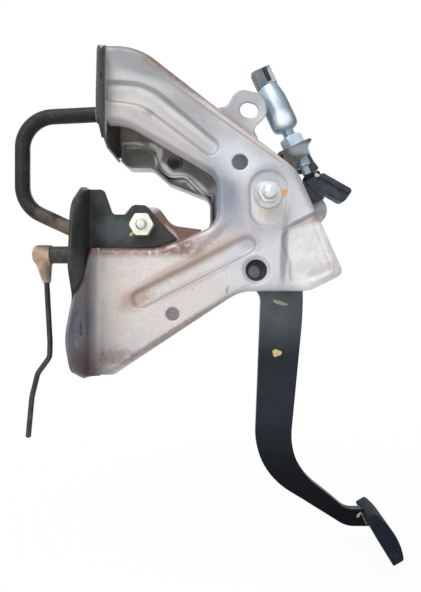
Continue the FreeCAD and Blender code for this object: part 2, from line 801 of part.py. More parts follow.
def make_bush(side):
    """Flanged plastic bush pressed in one end of the hub."""
    inner_y = HUB_HALF - BUSH_LENGTH
    body = disc(PIVOT_X, PIVOT_Z, HUB_BORE_D, inner_y, HUB_HALF + BUSH_FLANGE)
    flange = disc(PIVOT_X, PIVOT_Z, HUB_D, HUB_HALF, HUB_HALF + BUSH_FLANGE)
    bore = disc(PIVOT_X, PIVOT_Z, SLEEVE_D + 2 * RUNNING_FIT, inner_y - 1, HUB_HALF + BUSH_FLANGE + 1)
    bush = body.fuse(flange).cut(bore)
    if side < 0:
        bush = bush.mirror(Vector(0, 0, 0), Y_AXIS)
    return clean(bush)


def arm_outline():
    """Side view of the pedal arm, from the hub to the pad."""
    return [
        (PIVOT_X - ARM_EYE_R + 1, PIVOT_Z),
        (CLEVIS_X - CLEVIS_EYE_R, CLEVIS_Z + 8, 10),
        (CLEVIS_X - CLEVIS_EYE_R, CLEVIS_Z - 6, 10),
        (139.8, 25, 12),
        (133.8, -127.8, 72),
        (216.4, ARM_TIP_LOW_Z, 25),
        (PAD_X + 6, ARM_TIP_LOW_Z),
        (PAD_X + 6, ARM_TIP_TOP_Z),
        (216.6, ARM_TIP_TOP_Z, 15),
        (162.4, -119.3, 68),
        (176.4, 26.5, 300),
        (170, 80, 40),
        (PIVOT_X + ARM_EYE_R - 1, PIVOT_Z),
    ]


def arm_band():
    """Front view of the bar: straight down, set over to the far side, straight down again."""
    half = ARM_T / 2
    return [
        (-half, PIVOT_Z + 40),
        (-half, CREASE_Z, 36),
        (ARM_SET - half, SET_END_Z, 30),
        (ARM_SET - half, PAD_Z - 40),
        (ARM_SET + half, PAD_Z - 40),
        (ARM_SET + half, SET_END_Z + 2, 30),
        (half, CREASE_Z + 2, 36),
        (half, PIVOT_Z + 40),
    ]


def pad_frame():
    """Centre, downward direction and outward normal of the pad."""
    lean = math.radians(PAD_LEAN)
    down = Vector(math.cos(lean), 0, -math.sin(lean))
    out = Vector(math.sin(lean), 0, math.cos(lean))
    return Vector(PAD_X, ARM_SET, PAD_Z), down, out


def pad_block(back, front, shrink, corner):
    """Rounded rectangle of the pad between two depths along its normal."""
    centre, down, out = pad_frame()
    length = PAD_LENGTH / 2 - shrink
    width = PAD_WIDTH / 2 - shrink
    corners = [
        (-length, -width, corner),
        (length, -width, corner),
        (length, width, corner),
        (-length, width, corner),
    ]
    base = centre + out * back
    return slab(corners, lambda a, b: base + down * a + Y_AXIS * b, out * (front - back))


def make_pedal_arm():
    """Flat steel pedal arm with the hub eye and the clevis eye."""
    bar = across(arm_outline(), -ARM_T, ARM_SET + ARM_T)
    band = slab(arm_band(), in_yz(100), X_AXIS * 170)
    arm = bar.common(band)
    arm = arm.fuse(disc(PIVOT_X, PIVOT_Z, 2 * ARM_EYE_R, -ARM_T / 2, ARM_T / 2))
    arm = arm.fuse(disc(CLEVIS_X, CLEVIS_Z, 2 * CLEVIS_EYE_R, -ARM_T / 2, ARM_T / 2))
    arm = arm.cut(disc(PIVOT_X, PIVOT_Z, HUB_D + 2 * RUNNING_FIT, -ARM_T, ARM_T))
    arm = arm.cut(disc(CLEVIS_X, CLEVIS_Z, CLEVIS_BORE_D, -ARM_T, ARM_T))
    arm = arm.cut(pad_block(-PAD_PLATE_T, 60, -60, 5))
    return clean(arm)


def make_lever_plate():
    """Short lever beside the arm, from the hub to the striker."""
    start = Vector(PIVOT_X, 0, PIVOT_Z)
    end = Vector(LEVER_END_X, 0, LEVER_END_Z)
    reach = end - start
    side = Vector(-reach.z, 0, reach.x).normalize()
    hub_r = ARM_EYE_R - 2
    tilt = math.asin((hub_r - LEVER_END_R) / reach.Length)
    along = Vector(reach).normalize()
    corners = []
    for way in (1, -1):
        normal = side * (math.cos(tilt) * way) + along * math.sin(tilt)
        first = start + normal * hub_r
        second = end + normal * LEVER_END_R
        corners += [first, second] if way > 0 else [second, first]
    flat = [(c.x, c.z) for c in corners]
    y_from = ARM_T / 2
    y_to = y_from + LEVER_T
    lever = across(flat, y_from, y_to)
    lever = lever.fuse(disc(PIVOT_X, PIVOT_Z, 2 * hub_r, y_from, y_to))
    lever = lever.fuse(disc(LEVER_END_X, LEVER_END_Z, 2 * LEVER_END_R, y_from, y_to))
    return clean(lever.cut(disc(PIVOT_X, PIVOT_Z, HUB_D + 2 * RUNNING_FIT, y_from - 1, y_to + 1)))


def switch_frame():
    """Strike point, direction up the switch axis and direction across it."""
    lean = math.radians(SWITCH_LEAN)
    up = Vector(-math.sin(lean), 0, math.cos(lean))
    side = Vector(math.cos(lean), 0, math.sin(lean))
    return Vector(STRIKE_X, 0, STRIKE_Z), up, side


def on_switch(height, offset=0.0):
    """Point above the strike point, along and across the switch axis."""
    strike, up, side = switch_frame()
    return strike + up * height + side * offset


def make_striker_arm():
    """Black channel-sided striker that the switch rests on, with its long finger."""
    top = -CUSHION_T - SIDE_PLAY
    left = on_switch(top, -6.2)
    right = on_switch(top, 10.5)
    corners = [
        (left.x, left.z, 1.5),
        (right.x, right.z, 1.5),
        (215.4, 110.6, 3),
        (207.3, 99.2, 5),
        (193.4, 107.2, 1.2),
        (189.6, 102.4, 2),
    ]
    y_to = ARM_T / 2
    block = across(corners, y_to - 13, y_to)
    along = (Vector(215.4, 0, 110.6) - Vector(right.x, 0, right.z)).normalize()
    inward = Vector(along.z, 0, -along.x)
    start = Vector(right.x, 0, right.z) + inward * 4.6 - along * 3
    groove = []
    for run, drop in ((0, 0), (60, 0), (60, 2.6), (0, 2.6)):
        point = start + along * run + inward * drop
        groove.append((point.x, point.z))
    block = block.cut(across(groove, y_to - 15, y_to - 11))
    web = [
        (left.x, left.z),
        (PIVOT_X + 15.8, PIVOT_Z + 15.5, 3),
        (PIVOT_X + 14.8, PIVOT_Z + 5, 2),
        (180.5, 97.5, 4),
        (192.0, 103.5),
    ]
    block = block.fuse(across(web, -ARM_T / 2 - WEB_T, -ARM_T / 2))
    return clean(block)


def make_stop_cushion():
    """Rubber cushion on the striker, just clear of the plunger."""
    strike, up, side = switch_frame()
    corners = [(-5.5, -6.5, 2), (9, -6.5, 2), (9, 3.5, 2), (-5.5, 3.5, 2)]
    base = strike - up * (CUSHION_T + SIDE_PLAY)
    cushion = slab(corners, lambda a, b: base + side * a + Y_AXIS * b, up * CUSHION_T)
    top_edges = []
    for edge in cushion.Edges:
        depths = [abs((v.Point - strike).dot(up) + SIDE_PLAY) for v in edge.Vertexes]
        if max(depths) < 1e-4:
            top_edges.append(edge)
    return cushion.makeChamfer(0.8, top_edges)


def make_pad_plate():
    """Steel foot plate at the end of the arm."""
    return pad_block(-PAD_PLATE_T, 0, RUBBER_LIP, PAD_CORNER - RUBBER_LIP)


def crown(along):
    """Height of the crowned rubber face at a distance along the pad from its centre."""
    return RUBBER_FACE - (RUBBER_FACE - RUBBER_END) * (2 * along / PAD_LENGTH) ** 2


def make_pad_rubber():
    """Rubber pad with a crowned face, stretched over the foot plate and notched for the arm."""
    centre, down, out = pad_frame()
    length = PAD_LENGTH / 2
    back = -PAD_PLATE_T - RUBBER_BACK
    profile = [
        (-length, back, 3.2),
        (length, back, 2.5),
        (length, RUBBER_END, 3),
        (0, RUBBER_END + 1.46 * (RUBBER_FACE - RUBBER_END), 1.06 * PAD_LENGTH),
        (-length, RUBBER_END, 4),
    ]
    side = centre - Y_AXIS * (PAD_WIDTH / 2)
    rubber = slab(profile, lambda a, b: side + down * a + out * b, Y_AXIS * PAD_WIDTH)
    rubber = rubber.common(pad_block(back, RUBBER_FACE + 1, 0, PAD_CORNER))
    rubber = rubber.cut(pad_block(-PAD_PLATE_T, 0, RUBBER_LIP, PAD_CORNER - RUBBER_LIP))
    rubber = rubber.cut(pad_block(back - 1, -PAD_PLATE_T, RUBBER_LIP + 3.5, 3))
    half = ARM_T / 2 + NOTCH_CLEARANCE
    high = ARM_TIP_TOP_Z + NOTCH_CLEARANCE
    low = ARM_TIP_LOW_Z - NOTCH_CLEARANCE
    notch = [(PAD_X - 20, high), (PAD_X + 15, high), (PAD_X + 15, low), (PAD_X - 20, low)]
    notch = across(notch, ARM_SET - half, ARM_SET + half)
    rubber = rubber.cut(notch.common(pad_block(-20, -PAD_PLATE_T, -60, 5)))
    count = int((PAD_LENGTH / 2 - 6) / TREAD_PITCH)
    for k in range(-count, count + 1):
        corners = []
        for a, b in ((-0.5, -1), (0.5, -1), (0.5, 1), (-0.5, 1)):
            corners.append((k * TREAD_PITCH + a * TREAD_GROOVE, b * (PAD_WIDTH / 2 - 5)))
        base = centre + out * (crown(k * TREAD_PITCH) - TREAD_DEPTH)
        groove = slab(corners, lambda a, b, at=base: at + down * a + Y_AXIS * b, out * (TREAD_DEPTH + 2))
        rubber = rubber.cut(groove)
    return clean(rubber)


def make_switch_bracket():
    """Folded bracket that carries the switch: plate, foot on the bridge, near leg and far cheek."""
    under = SWITCH_PLATE_AT - SWITCH_SHEET
    half = SWITCH_PLATE_HALF
    lean = math.radians(SLOPE)
    down_slope = Vector(math.cos(lean), 0, -math.sin(lean))
    off_slope = Vector(math.sin(lean), 0, math.cos(lean))
    seat = Vector(TOP_BREAK_X, 0, TOP_Z) - off_slope * SHEET
    knee = on_switch(under, -14)
    ankle = seat + down_slope * ((knee - seat).dot(down_slope) - 1)
    toe = ankle - down_slope * 16
    back = off_slope * SWITCH_SHEET
    shin = (ankle - knee).normalize()
    left_of_shin = Vector(shin.z, 0, -shin.x)
    outer_ankle = ankle + left_of_shin * SWITCH_SHEET + back
    outer_knee = on_switch(SWITCH_PLATE_AT, -14 - SWITCH_SHEET)
    profile = [
        (toe.x, toe.z),
        (ankle.x, ankle.z, 1.0),
        (knee.x, knee.z, 1.0),
        (on_switch(under, 11).x, on_switch(under, 11).z),
        (on_switch(SWITCH_PLATE_AT, 11).x, on_switch(SWITCH_PLATE_AT, 11).z),
        (outer_knee.x, outer_knee.z, 3.0),
        (outer_ankle.x, outer_ankle.z, 3.0),
        ((toe + back).x, (toe + back).z),
    ]
    bracket = across(profile, -half, half)
    near_leg = [
        (SWITCH_PLATE_AT, -13, 0),
        (SWITCH_PLATE_AT, 8, 9),
        (SWITCH_PLATE_AT - 1.4, 13.2, 0.8),
        (20.5, 7.0, 6),
        (14.3, 5.2, 2.5),
        (14.8, -2.8, 5),
        (9.5, -8.2, 4),
        (4.5, -9.5, 0),
        (9.0, -19, 0),
    ]
    far_cheek = [
        (SWITCH_PLATE_AT, -13, 0),
        (SWITCH_PLATE_AT, 10, 2),
        (17.5, 11.8, 8),
        (11.0, 12.2, 8),
        (3.0, 14.2, 2),
        (2.0, 6.0, 4),
        (8.0, -8.0, 6),
        (9.0, -19, 0),
    ]
    for points, y in ((near_leg, -half), (far_cheek, half - SWITCH_SHEET)):
        corners = [(on_switch(h, s).x, on_switch(h, s).z, r) for h, s, r in points]
        bracket = bracket.fuse(across(corners, y, y + SWITCH_SHEET))
    _, up, _ = switch_frame()
    hole = Part.makeCylinder(BARREL_D / 2 + 0.2, 12, on_switch(under - 4), up)
    slope_cut = Part.makeBox(200, 2 * half + 2, 60)
    corner = Vector(TOP_BREAK_X, -half - 1, TOP_Z) - off_slope * (60 + SHEET)
    slope_cut.Placement = FreeCAD.Placement(corner, FreeCAD.Rotation(Y_AXIS, SLOPE))
    return clean(bracket.cut(hole).cut(slope_cut))


def make_switch_body():
    """Switch: threaded barrel, neck and crimped can in one piece."""
    _, up, _ = switch_frame()

    def on_axis(offset, height):
        return on_switch(height, offset)

    barrel = Part.makeCylinder(BARREL_D / 2, CAN_START + 2 - PLUNGER_SHOW, on_switch(PLUNGER_SHOW), up)
    radius = CAN_D / 2
    end = CAN_START + CAN_LENGTH
    half_section = [
        (0, CAN_START),
        (radius - CAN_ROUND, CAN_START),
        (radius - 0.28 * CAN_ROUND, CAN_START + 0.28 * CAN_ROUND),
        (radius, CAN_START + CAN_ROUND),
        (radius, end - CAN_SHOULDER),
        (radius - 0.28 * (radius - CAN_MOUTH_R), end - 0.45 * CAN_SHOULDER),
        (CAN_MOUTH_R, end),
        (0, end),
    ]
    face = Part.Face(outline(half_section, on_axis))
    can = face.revolve(on_switch(0), up, 360)
    body = barrel.fuse(can)
    bore = Part.makeCylinder(PLUNGER_D / 2 + RUNNING_FIT, PLUNGER_INSIDE + 6, on_switch(PLUNGER_SHOW - 1), up)
    return clean(body.cut(bore))


def make_switch_connector():
    """Open plug housing on top of the can."""
    _, up, side = switch_frame()
    base = on_switch(CAN_START + CAN_LENGTH)

    def block(width, thick, corner, start, end):
        corners = [
            (-width / 2, -thick / 2, corner),
            (width / 2, -thick / 2, corner),
            (width / 2, thick / 2, corner),
            (-width / 2, thick / 2, corner),
        ]
        return slab(corners, lambda a, b: base + up * start + side * a + Y_AXIS * b, up * (end - start))

    housing = block(PLUG_W, PLUG_T, 2.5, 0, PLUG_LENGTH)
    foot = Part.makeCylinder(CAN_MOUTH_R, 1.5, base, up)
    housing = housing.fuse(foot)
    hollow = block(PLUG_W - 2 * PLUG_WALL, PLUG_T - 2 * PLUG_WALL, 1.2, PLUG_LENGTH - PLUG_DEPTH, PLUG_LENGTH + 1)
    latch_at = base + side * LATCH_OFFSET
    latch = [(-LATCH_W / 2, 3), (LATCH_W / 2, 3), (LATCH_W / 2, PLUG_LENGTH - 2), (-LATCH_W / 2, PLUG_LENGTH - 2)]
    slot = slab(latch, lambda a, b: latch_at + side * a + up * b - Y_AXIS * PLUG_T, Y_AXIS * PLUG_T)
    return clean(housing.cut(hollow).cut(slot))


def make_switch_terminals():
    """Two blade terminals standing in the plug housing."""
    _, up, side = switch_frame()
    base = on_switch(CAN_START + CAN_LENGTH + PLUG_LENGTH - PLUG_DEPTH)
    blades = []
    for offset in (-3.2, 3.2):
        corners = [
            (offset - 0.4, -2.4),
            (offset + 0.4, -2.4),
            (offset + 0.4, 2.4),
            (offset - 0.4, 2.4),
        ]
        blades.append(slab(corners, lambda a, b: base + side * a + Y_AXIS * b, up * TERMINAL_H))
    return Part.makeCompound(blades)


def make_locknut(start, height):
    """Locknut on the threaded barrel, starting at a height on the switch axis."""
    _, up, _ = switch_frame()
    nut = hexagon(on_switch(start), up, LOCKNUT_FLAT, height)
    bore = Part.makeCylinder(BARREL_D / 2 + RUNNING_FIT, height + 2, on_switch(start - 1), up)
    return nut.cut(bore)


def make_switch_plunger():
    """Plunger that follows the striker."""
    _, up, _ = switch_frame()
    plunger = Part.makeCylinder(PLUNGER_D / 2, PLUNGER_SHOW + PLUNGER_INSIDE, on_switch(0), up)
    tip = [e for e in plunger.Edges if (e.CenterOfMass - on_switch(0)).Length < 0.1]
    return plunger.makeChamfer(1.2, tip)


def build():
    """Every node of the assembly by name."""
    near = make_side_plate_near()
    far = make_side_plate_far()
    under = SWITCH_PLATE_AT - SWITCH_SHEET
    return {
        "side_plate_near": near,
        "side_plate_far": far,
        "upper_tie_plate": make_upper_tie_plate((near, far)),
        "top_bridge": make_top_bridge(),
        "dash_bracket": make_dash_bracket(),
        "bracket_bolt": make_bracket_bolt(),
        "bracket_nut": make_bracket_nut(),
        "stay_hoop": make_stay_hoop(),
        "link_pin": make_link_pin(),
        "rod_socket": make_rod_socket(),
        "link_rod": make_link_rod(),
        "pivot_bolt": make_pivot_bolt(),
        "pivot_washer": make_pivot_washer(),
        "pivot_nut": make_pivot_nut(),
        "pivot_sleeve": make_pivot_sleeve(),
        "hub_tube": make_hub_tube(),
        "bush_near": make_bush(-1),
        "bush_far": make_bush(1),
        "pedal_arm": make_pedal_arm(),
        "lever_plate": make_lever_plate(),
        "striker_arm": make_striker_arm(),
        "stop_cushion": make_stop_cushion(),
        "pad_plate": make_pad_plate(),
        "pad_rubber": make_pad_rubber(),
        "switch_bracket": make_switch_bracket(),
        "switch_body": make_switch_body(),
        "switch_connector": make_switch_connector(),
        "switch_terminals": make_switch_terminals(),
        "switch_locknut_upper": make_locknut(SWITCH_PLATE_AT, TOP_NUT_H),
        "switch_locknut_lower": make_locknut(under - LOCKNUT_H, LOCKNUT_H),
        "switch_plunger": make_switch_plunger(),
    }


os.makedirs("parts", exist_ok=True)
for node, shape in build().items():
    shape.exportStep("parts/" + node + ".step")
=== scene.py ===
"""Looks of a brake pedal assembly: finishes, welds, threads and moulded pieces on the solid model.

Everything is in metres, in the frame of the solid model: X to the driver, Y across the car, Z up.
"""
import math

import bmesh
import bpy
from mathutils import Matrix, Vector, noise


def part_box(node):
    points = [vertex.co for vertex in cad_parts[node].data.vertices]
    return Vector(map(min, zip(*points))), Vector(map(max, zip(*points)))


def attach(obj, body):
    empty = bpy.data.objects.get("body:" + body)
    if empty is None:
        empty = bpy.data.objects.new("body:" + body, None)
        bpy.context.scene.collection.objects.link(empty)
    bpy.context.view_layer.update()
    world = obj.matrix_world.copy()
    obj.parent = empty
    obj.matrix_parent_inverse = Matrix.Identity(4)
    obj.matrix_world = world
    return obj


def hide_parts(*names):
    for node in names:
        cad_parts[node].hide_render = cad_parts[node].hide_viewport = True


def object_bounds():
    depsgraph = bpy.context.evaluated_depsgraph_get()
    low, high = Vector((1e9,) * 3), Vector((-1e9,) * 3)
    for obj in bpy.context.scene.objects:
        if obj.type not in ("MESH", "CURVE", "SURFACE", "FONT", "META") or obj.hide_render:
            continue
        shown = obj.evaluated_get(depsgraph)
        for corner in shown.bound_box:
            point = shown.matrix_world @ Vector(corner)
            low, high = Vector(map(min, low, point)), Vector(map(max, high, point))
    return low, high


bl_info = {
    "name": "Brake Pedal Looks",
    "version": (1, 0, 0),
    "blender": (4, 5, 0),
    "location": "View3D > Sidebar > Pedal",
    "description": "Dresses the brake pedal assembly with its finishes and small details",
    "category": "Object",
}

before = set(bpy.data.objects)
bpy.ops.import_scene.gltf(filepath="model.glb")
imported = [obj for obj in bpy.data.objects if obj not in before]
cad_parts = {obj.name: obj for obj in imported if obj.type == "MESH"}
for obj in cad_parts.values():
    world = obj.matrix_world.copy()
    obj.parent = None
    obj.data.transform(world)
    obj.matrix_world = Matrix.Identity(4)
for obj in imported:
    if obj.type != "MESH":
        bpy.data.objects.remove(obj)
CAD_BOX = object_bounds()
MM = 0.001


def centre_of(node):
    """Middle of a node's box."""
    return sum(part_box(node), Vector()) / 2


PIVOT = centre_of("pivot_washer")
# Where the striker meets the switch, and how far the switch leans to the dash
STRIKE = Vector((179.5, 0, 124.0)) * MM
SWITCH_LEAN = math.radians(24.7)
SWITCH_UP = Vector((-math.sin(SWITCH_LEAN), 0, math.cos(SWITCH_LEAN)))
SWITCH_SIDE = Vector((math.cos(SWITCH_LEAN), 0, math.sin(SWITCH_LEAN)))
# How far the plug's dark latch lies off the switch's axis, and towards the viewer
LATCH_OFFSET = 2.6 * MM
LATCH_FRONT = 6.2 * MM
# Slope and sheet thickness of the bridge
SLOPE = math.radians(37.8)
BRIDGE_T = 2.0 * MM
HOOP_Y = centre_of("stay_hoop").y
# Heights at which the stay hoop meets the dash bracket and the tie plate
HOOP_LOW_Z = 71.3 * MM
HOOP_HIGH_Z = 160.4 * MM
SMALL_WELD = 1.3 * MM
ALONG_X = Vector((1, 0, 0))
ALONG_Y = Vector((0, 1, 0))
ALONG_Z = Vector((0, 0, 1))


def linear(code):
    """Linear colour with alpha from a hex code such as 8f9096."""
    out = []
    for k in (0, 2, 4):
        c = int(code[k:k + 2], 16) / 255
        out.append(c / 12.92 if c <= 0.04045 else ((c + 0.055) / 1.055) ** 2.4)
    return (*out, 1.0)


def per_mm(size):
    """Texture scale at which a pattern repeats about every so many millimetres."""
    return 1000.0 / size


def add(tree, kind, settings=None, values=None, links=None, stops=None):
    """Add one node with its settings, socket values, incoming links and colour stops."""
    made = tree.nodes.new(kind)
    for key, value in (settings or {}).items():
        setattr(made, key, value)
    for key, value in (values or {}).items():
        made.inputs[key].default_value = value
    for key, source in (links or {}).items():
        tree.links.new(source, made.inputs[key])
    if stops:
        ramp = made.color_ramp.elements
        while len(ramp) < len(stops):
            ramp.new(0.5)
        for element, (at, code) in zip(ramp, stops):
            element.position = at
            element.color = linear(code)
    return made


def begin(name, metallic, roughness, specular=0.5):
    """New material: its tree, its shader and the object coordinates that its patterns use."""
    material = bpy.data.materials.new(name)
    material.use_nodes = True
    tree = material.node_tree
    tree.nodes.clear()
    out = add(tree, "ShaderNodeOutputMaterial")
    shader = add(tree, "ShaderNodeBsdfPrincipled", values={
        "Metallic": metallic, "Roughness": roughness, "Specular IOR Level": specular})
    tree.links.new(shader.outputs["BSDF"], out.inputs["Surface"])
    where = add(tree, "ShaderNodeTexCoord").outputs["Object"]
    return material, tree, shader, where


def clouds(tree, where, size, detail, stretch, roughness):
    """Clouds of a given grain size in millimetres, stretched along the axes."""
    placed = add(tree, "ShaderNodeMapping", values={"Scale": stretch}, links={"Vector": where})
    return add(
        tree, "ShaderNodeTexNoise",
        values={"Scale": per_mm(size), "Detail": detail, "Roughness": roughness},
        links={"Vector": placed.outputs[0]},
    ).outputs["Fac"]


def mottle(tree, where, size, stops, detail=3.0):
    """Cloudy colour of a given grain size in millimetres."""
    cloud = clouds(tree, where, size, detail, (1, 1, 1), 0.55)
    return add(tree, "ShaderNodeValToRGB", links={"Fac": cloud}, stops=stops).outputs[0]


def mask(tree, where, size, low, high, detail=3.0, stretch=(1, 1, 1)):
    """Mask that is 0 below and 1 above two levels of clouds of a given size in millimetres."""
    cloud = clouds(tree, where, size, detail, stretch, 0.6)
    return add(
        tree, "ShaderNodeMapRange",
        values={"From Min": low, "From Max": high}, links={"Value": cloud},
    ).outputs[0]


def spot(tree, where, centre, reach, soft=0.5, ragged=0.25, turn=0.0):
    """Mask inside an ellipsoid in millimetres, turned by degrees about Y, with a soft ragged rim.

    A positive turn runs down towards the driver.
    """
    placed = add(
        tree, "ShaderNodeMapping", {"vector_type": "TEXTURE"},
        {
            "Location": Vector(centre) * MM,
            "Rotation": (0, math.radians(turn), 0),
            "Scale": Vector(reach) * MM,
        },
        {"Vector": where},
    )
    length = add(
        tree, "ShaderNodeVectorMath", {"operation": "LENGTH"}, links={0: placed.outputs[0]})
    cloud = add(
        tree, "ShaderNodeTexNoise",
        values={"Scale": per_mm(min(reach) * 0.6), "Detail": 4.0}, links={"Vector": where},
    )
    wavy = add(
        tree, "ShaderNodeMath", {"operation": "MULTIPLY_ADD"},
        {1: 2 * ragged, 2: -ragged}, {0: cloud.outputs["Fac"]},
    )
    total = add(
        tree, "ShaderNodeMath", {"operation": "ADD"},
        links={0: length.outputs["Value"], 1: wavy.outputs[0]},
    )
    return add(
        tree, "ShaderNodeMapRange", {"interpolation_type": "SMOOTHSTEP"},
        {"From Min": 1 + soft / 2, "From Max": 1 - soft / 2}, {"Value": total.outputs[0]},
    ).outputs[0]


def ramp(tree, where, direction, start, end):
    """Mask that goes from 0 to 1 along a direction, between two distances in millimetres."""
    run = add(tree, "ShaderNodeVectorMath", {"operation": "DOT_PRODUCT"}, {1: direction}, {0: where})
    return add(
        tree, "ShaderNodeMapRange",
        values={"From Min": start * MM, "From Max": end * MM},
        links={"Value": run.outputs["Value"]},
    ).outputs[0]


def facing(tree, direction):
    """Mask of the faces that look along a direction."""
    normal = add(tree, "ShaderNodeTexCoord").outputs["Normal"]
    run = add(tree, "ShaderNodeVectorMath", {"operation": "DOT_PRODUCT"}, {1: direction}, {0: normal})
    return add(
        tree, "ShaderNodeMapRange", {"interpolation_type": "SMOOTHSTEP"},
        {"From Min": 0.1, "From Max": 0.5}, {"Value": run.outputs["Value"]},
    ).outputs[0]


def within(tree, where, ramps):
    """Mask that is up where every one of several ramps is up."""
    share = ramp(tree, where, *ramps[0])
    for other in ramps[1:]:
        share = times(tree, share, ramp(tree, where, *other))
    return share


def times(tree, a, b):
    """Product of two masks, or of a mask and a number."""
    made = add(tree, "ShaderNodeMath", {"operation": "MULTIPLY"}, links={0: a})
    if isinstance(b, float):
        made.inputs[1].default_value = b
    else:
        tree.links.new(b, made.inputs[1])
    return made.outputs[0]


def lay(tree, under, over, where_mask, amount=1.0):
    """Colour laid over another through a mask."""
    share = times(tree, where_mask, amount) if amount < 1.0 else where_mask
    made = add(tree, "ShaderNodeMix", {"data_type": "RGBA"}, links={0: share, 6: under})
    if isinstance(over, str):
        made.inputs[7].default_value = linear(over)
    else:
        tree.links.new(over, made.inputs[7])
    return made.outputs[2]


def edges(tree, radius, low=0.02, high=0.25):
    """Mask of the sharp edges, where a rounded normal leaves the true one."""
    round_normal = add(tree, "ShaderNodeBevel", {"samples": 6}, {"Radius": radius * MM})
    true_normal = add(tree, "ShaderNodeNewGeometry").outputs["True Normal"]
    dot = add(
        tree, "ShaderNodeVectorMath", {"operation": "DOT_PRODUCT"},
        links={0: round_normal.outputs[0], 1: true_normal},
    )
    return add(
        tree, "ShaderNodeMapRange",
        values={"From Min": 1 - low, "From Max": 1 - high}, links={"Value": dot.outputs["Value"]},
    ).outputs[0]


def hollows(tree, reach, low=0.35, high=0.8):
    """Mask of the corners and hollows, where dust settles and where shade is painted."""
    shade = add(tree, "ShaderNodeAmbientOcclusion", {"samples": 8}, {"Distance": reach * MM})
    return add(
        tree, "ShaderNodeMapRange",
        values={"From Min": high, "From Max": low}, links={"Value": shade.outputs["AO"]},
    ).outputs[0]


def surface(tree, shader, colour, height, depth, rounding):
    """Colour, and fine relief of a given depth on edges rounded by so many millimetres."""
    tree.links.new(colour, shader.inputs["Base Color"])
    made = add(
        tree, "ShaderNodeBump",
        values={"Strength": 1.0, "Distance": depth * MM}, links={"Height": height},
    )
    if rounding > 0:
        soft = add(tree, "ShaderNodeBevel", {"samples": 6}, {"Radius": rounding * MM})
        tree.links.new(soft.outputs[0], made.inputs["Normal"])
    tree.links.new(made.outputs[0], shader.inputs["Normal"])


def dulling(tree, shader, where_mask, low, high):
    """Roughness that goes from low to high through a mask."""
    made = add(
        tree, "ShaderNodeMapRange",
        values={"To Min": low, "To Max": high}, links={"Value": where_mask},
    )
    tree.links.new(made.outputs[0], shader.inputs["Roughness"])


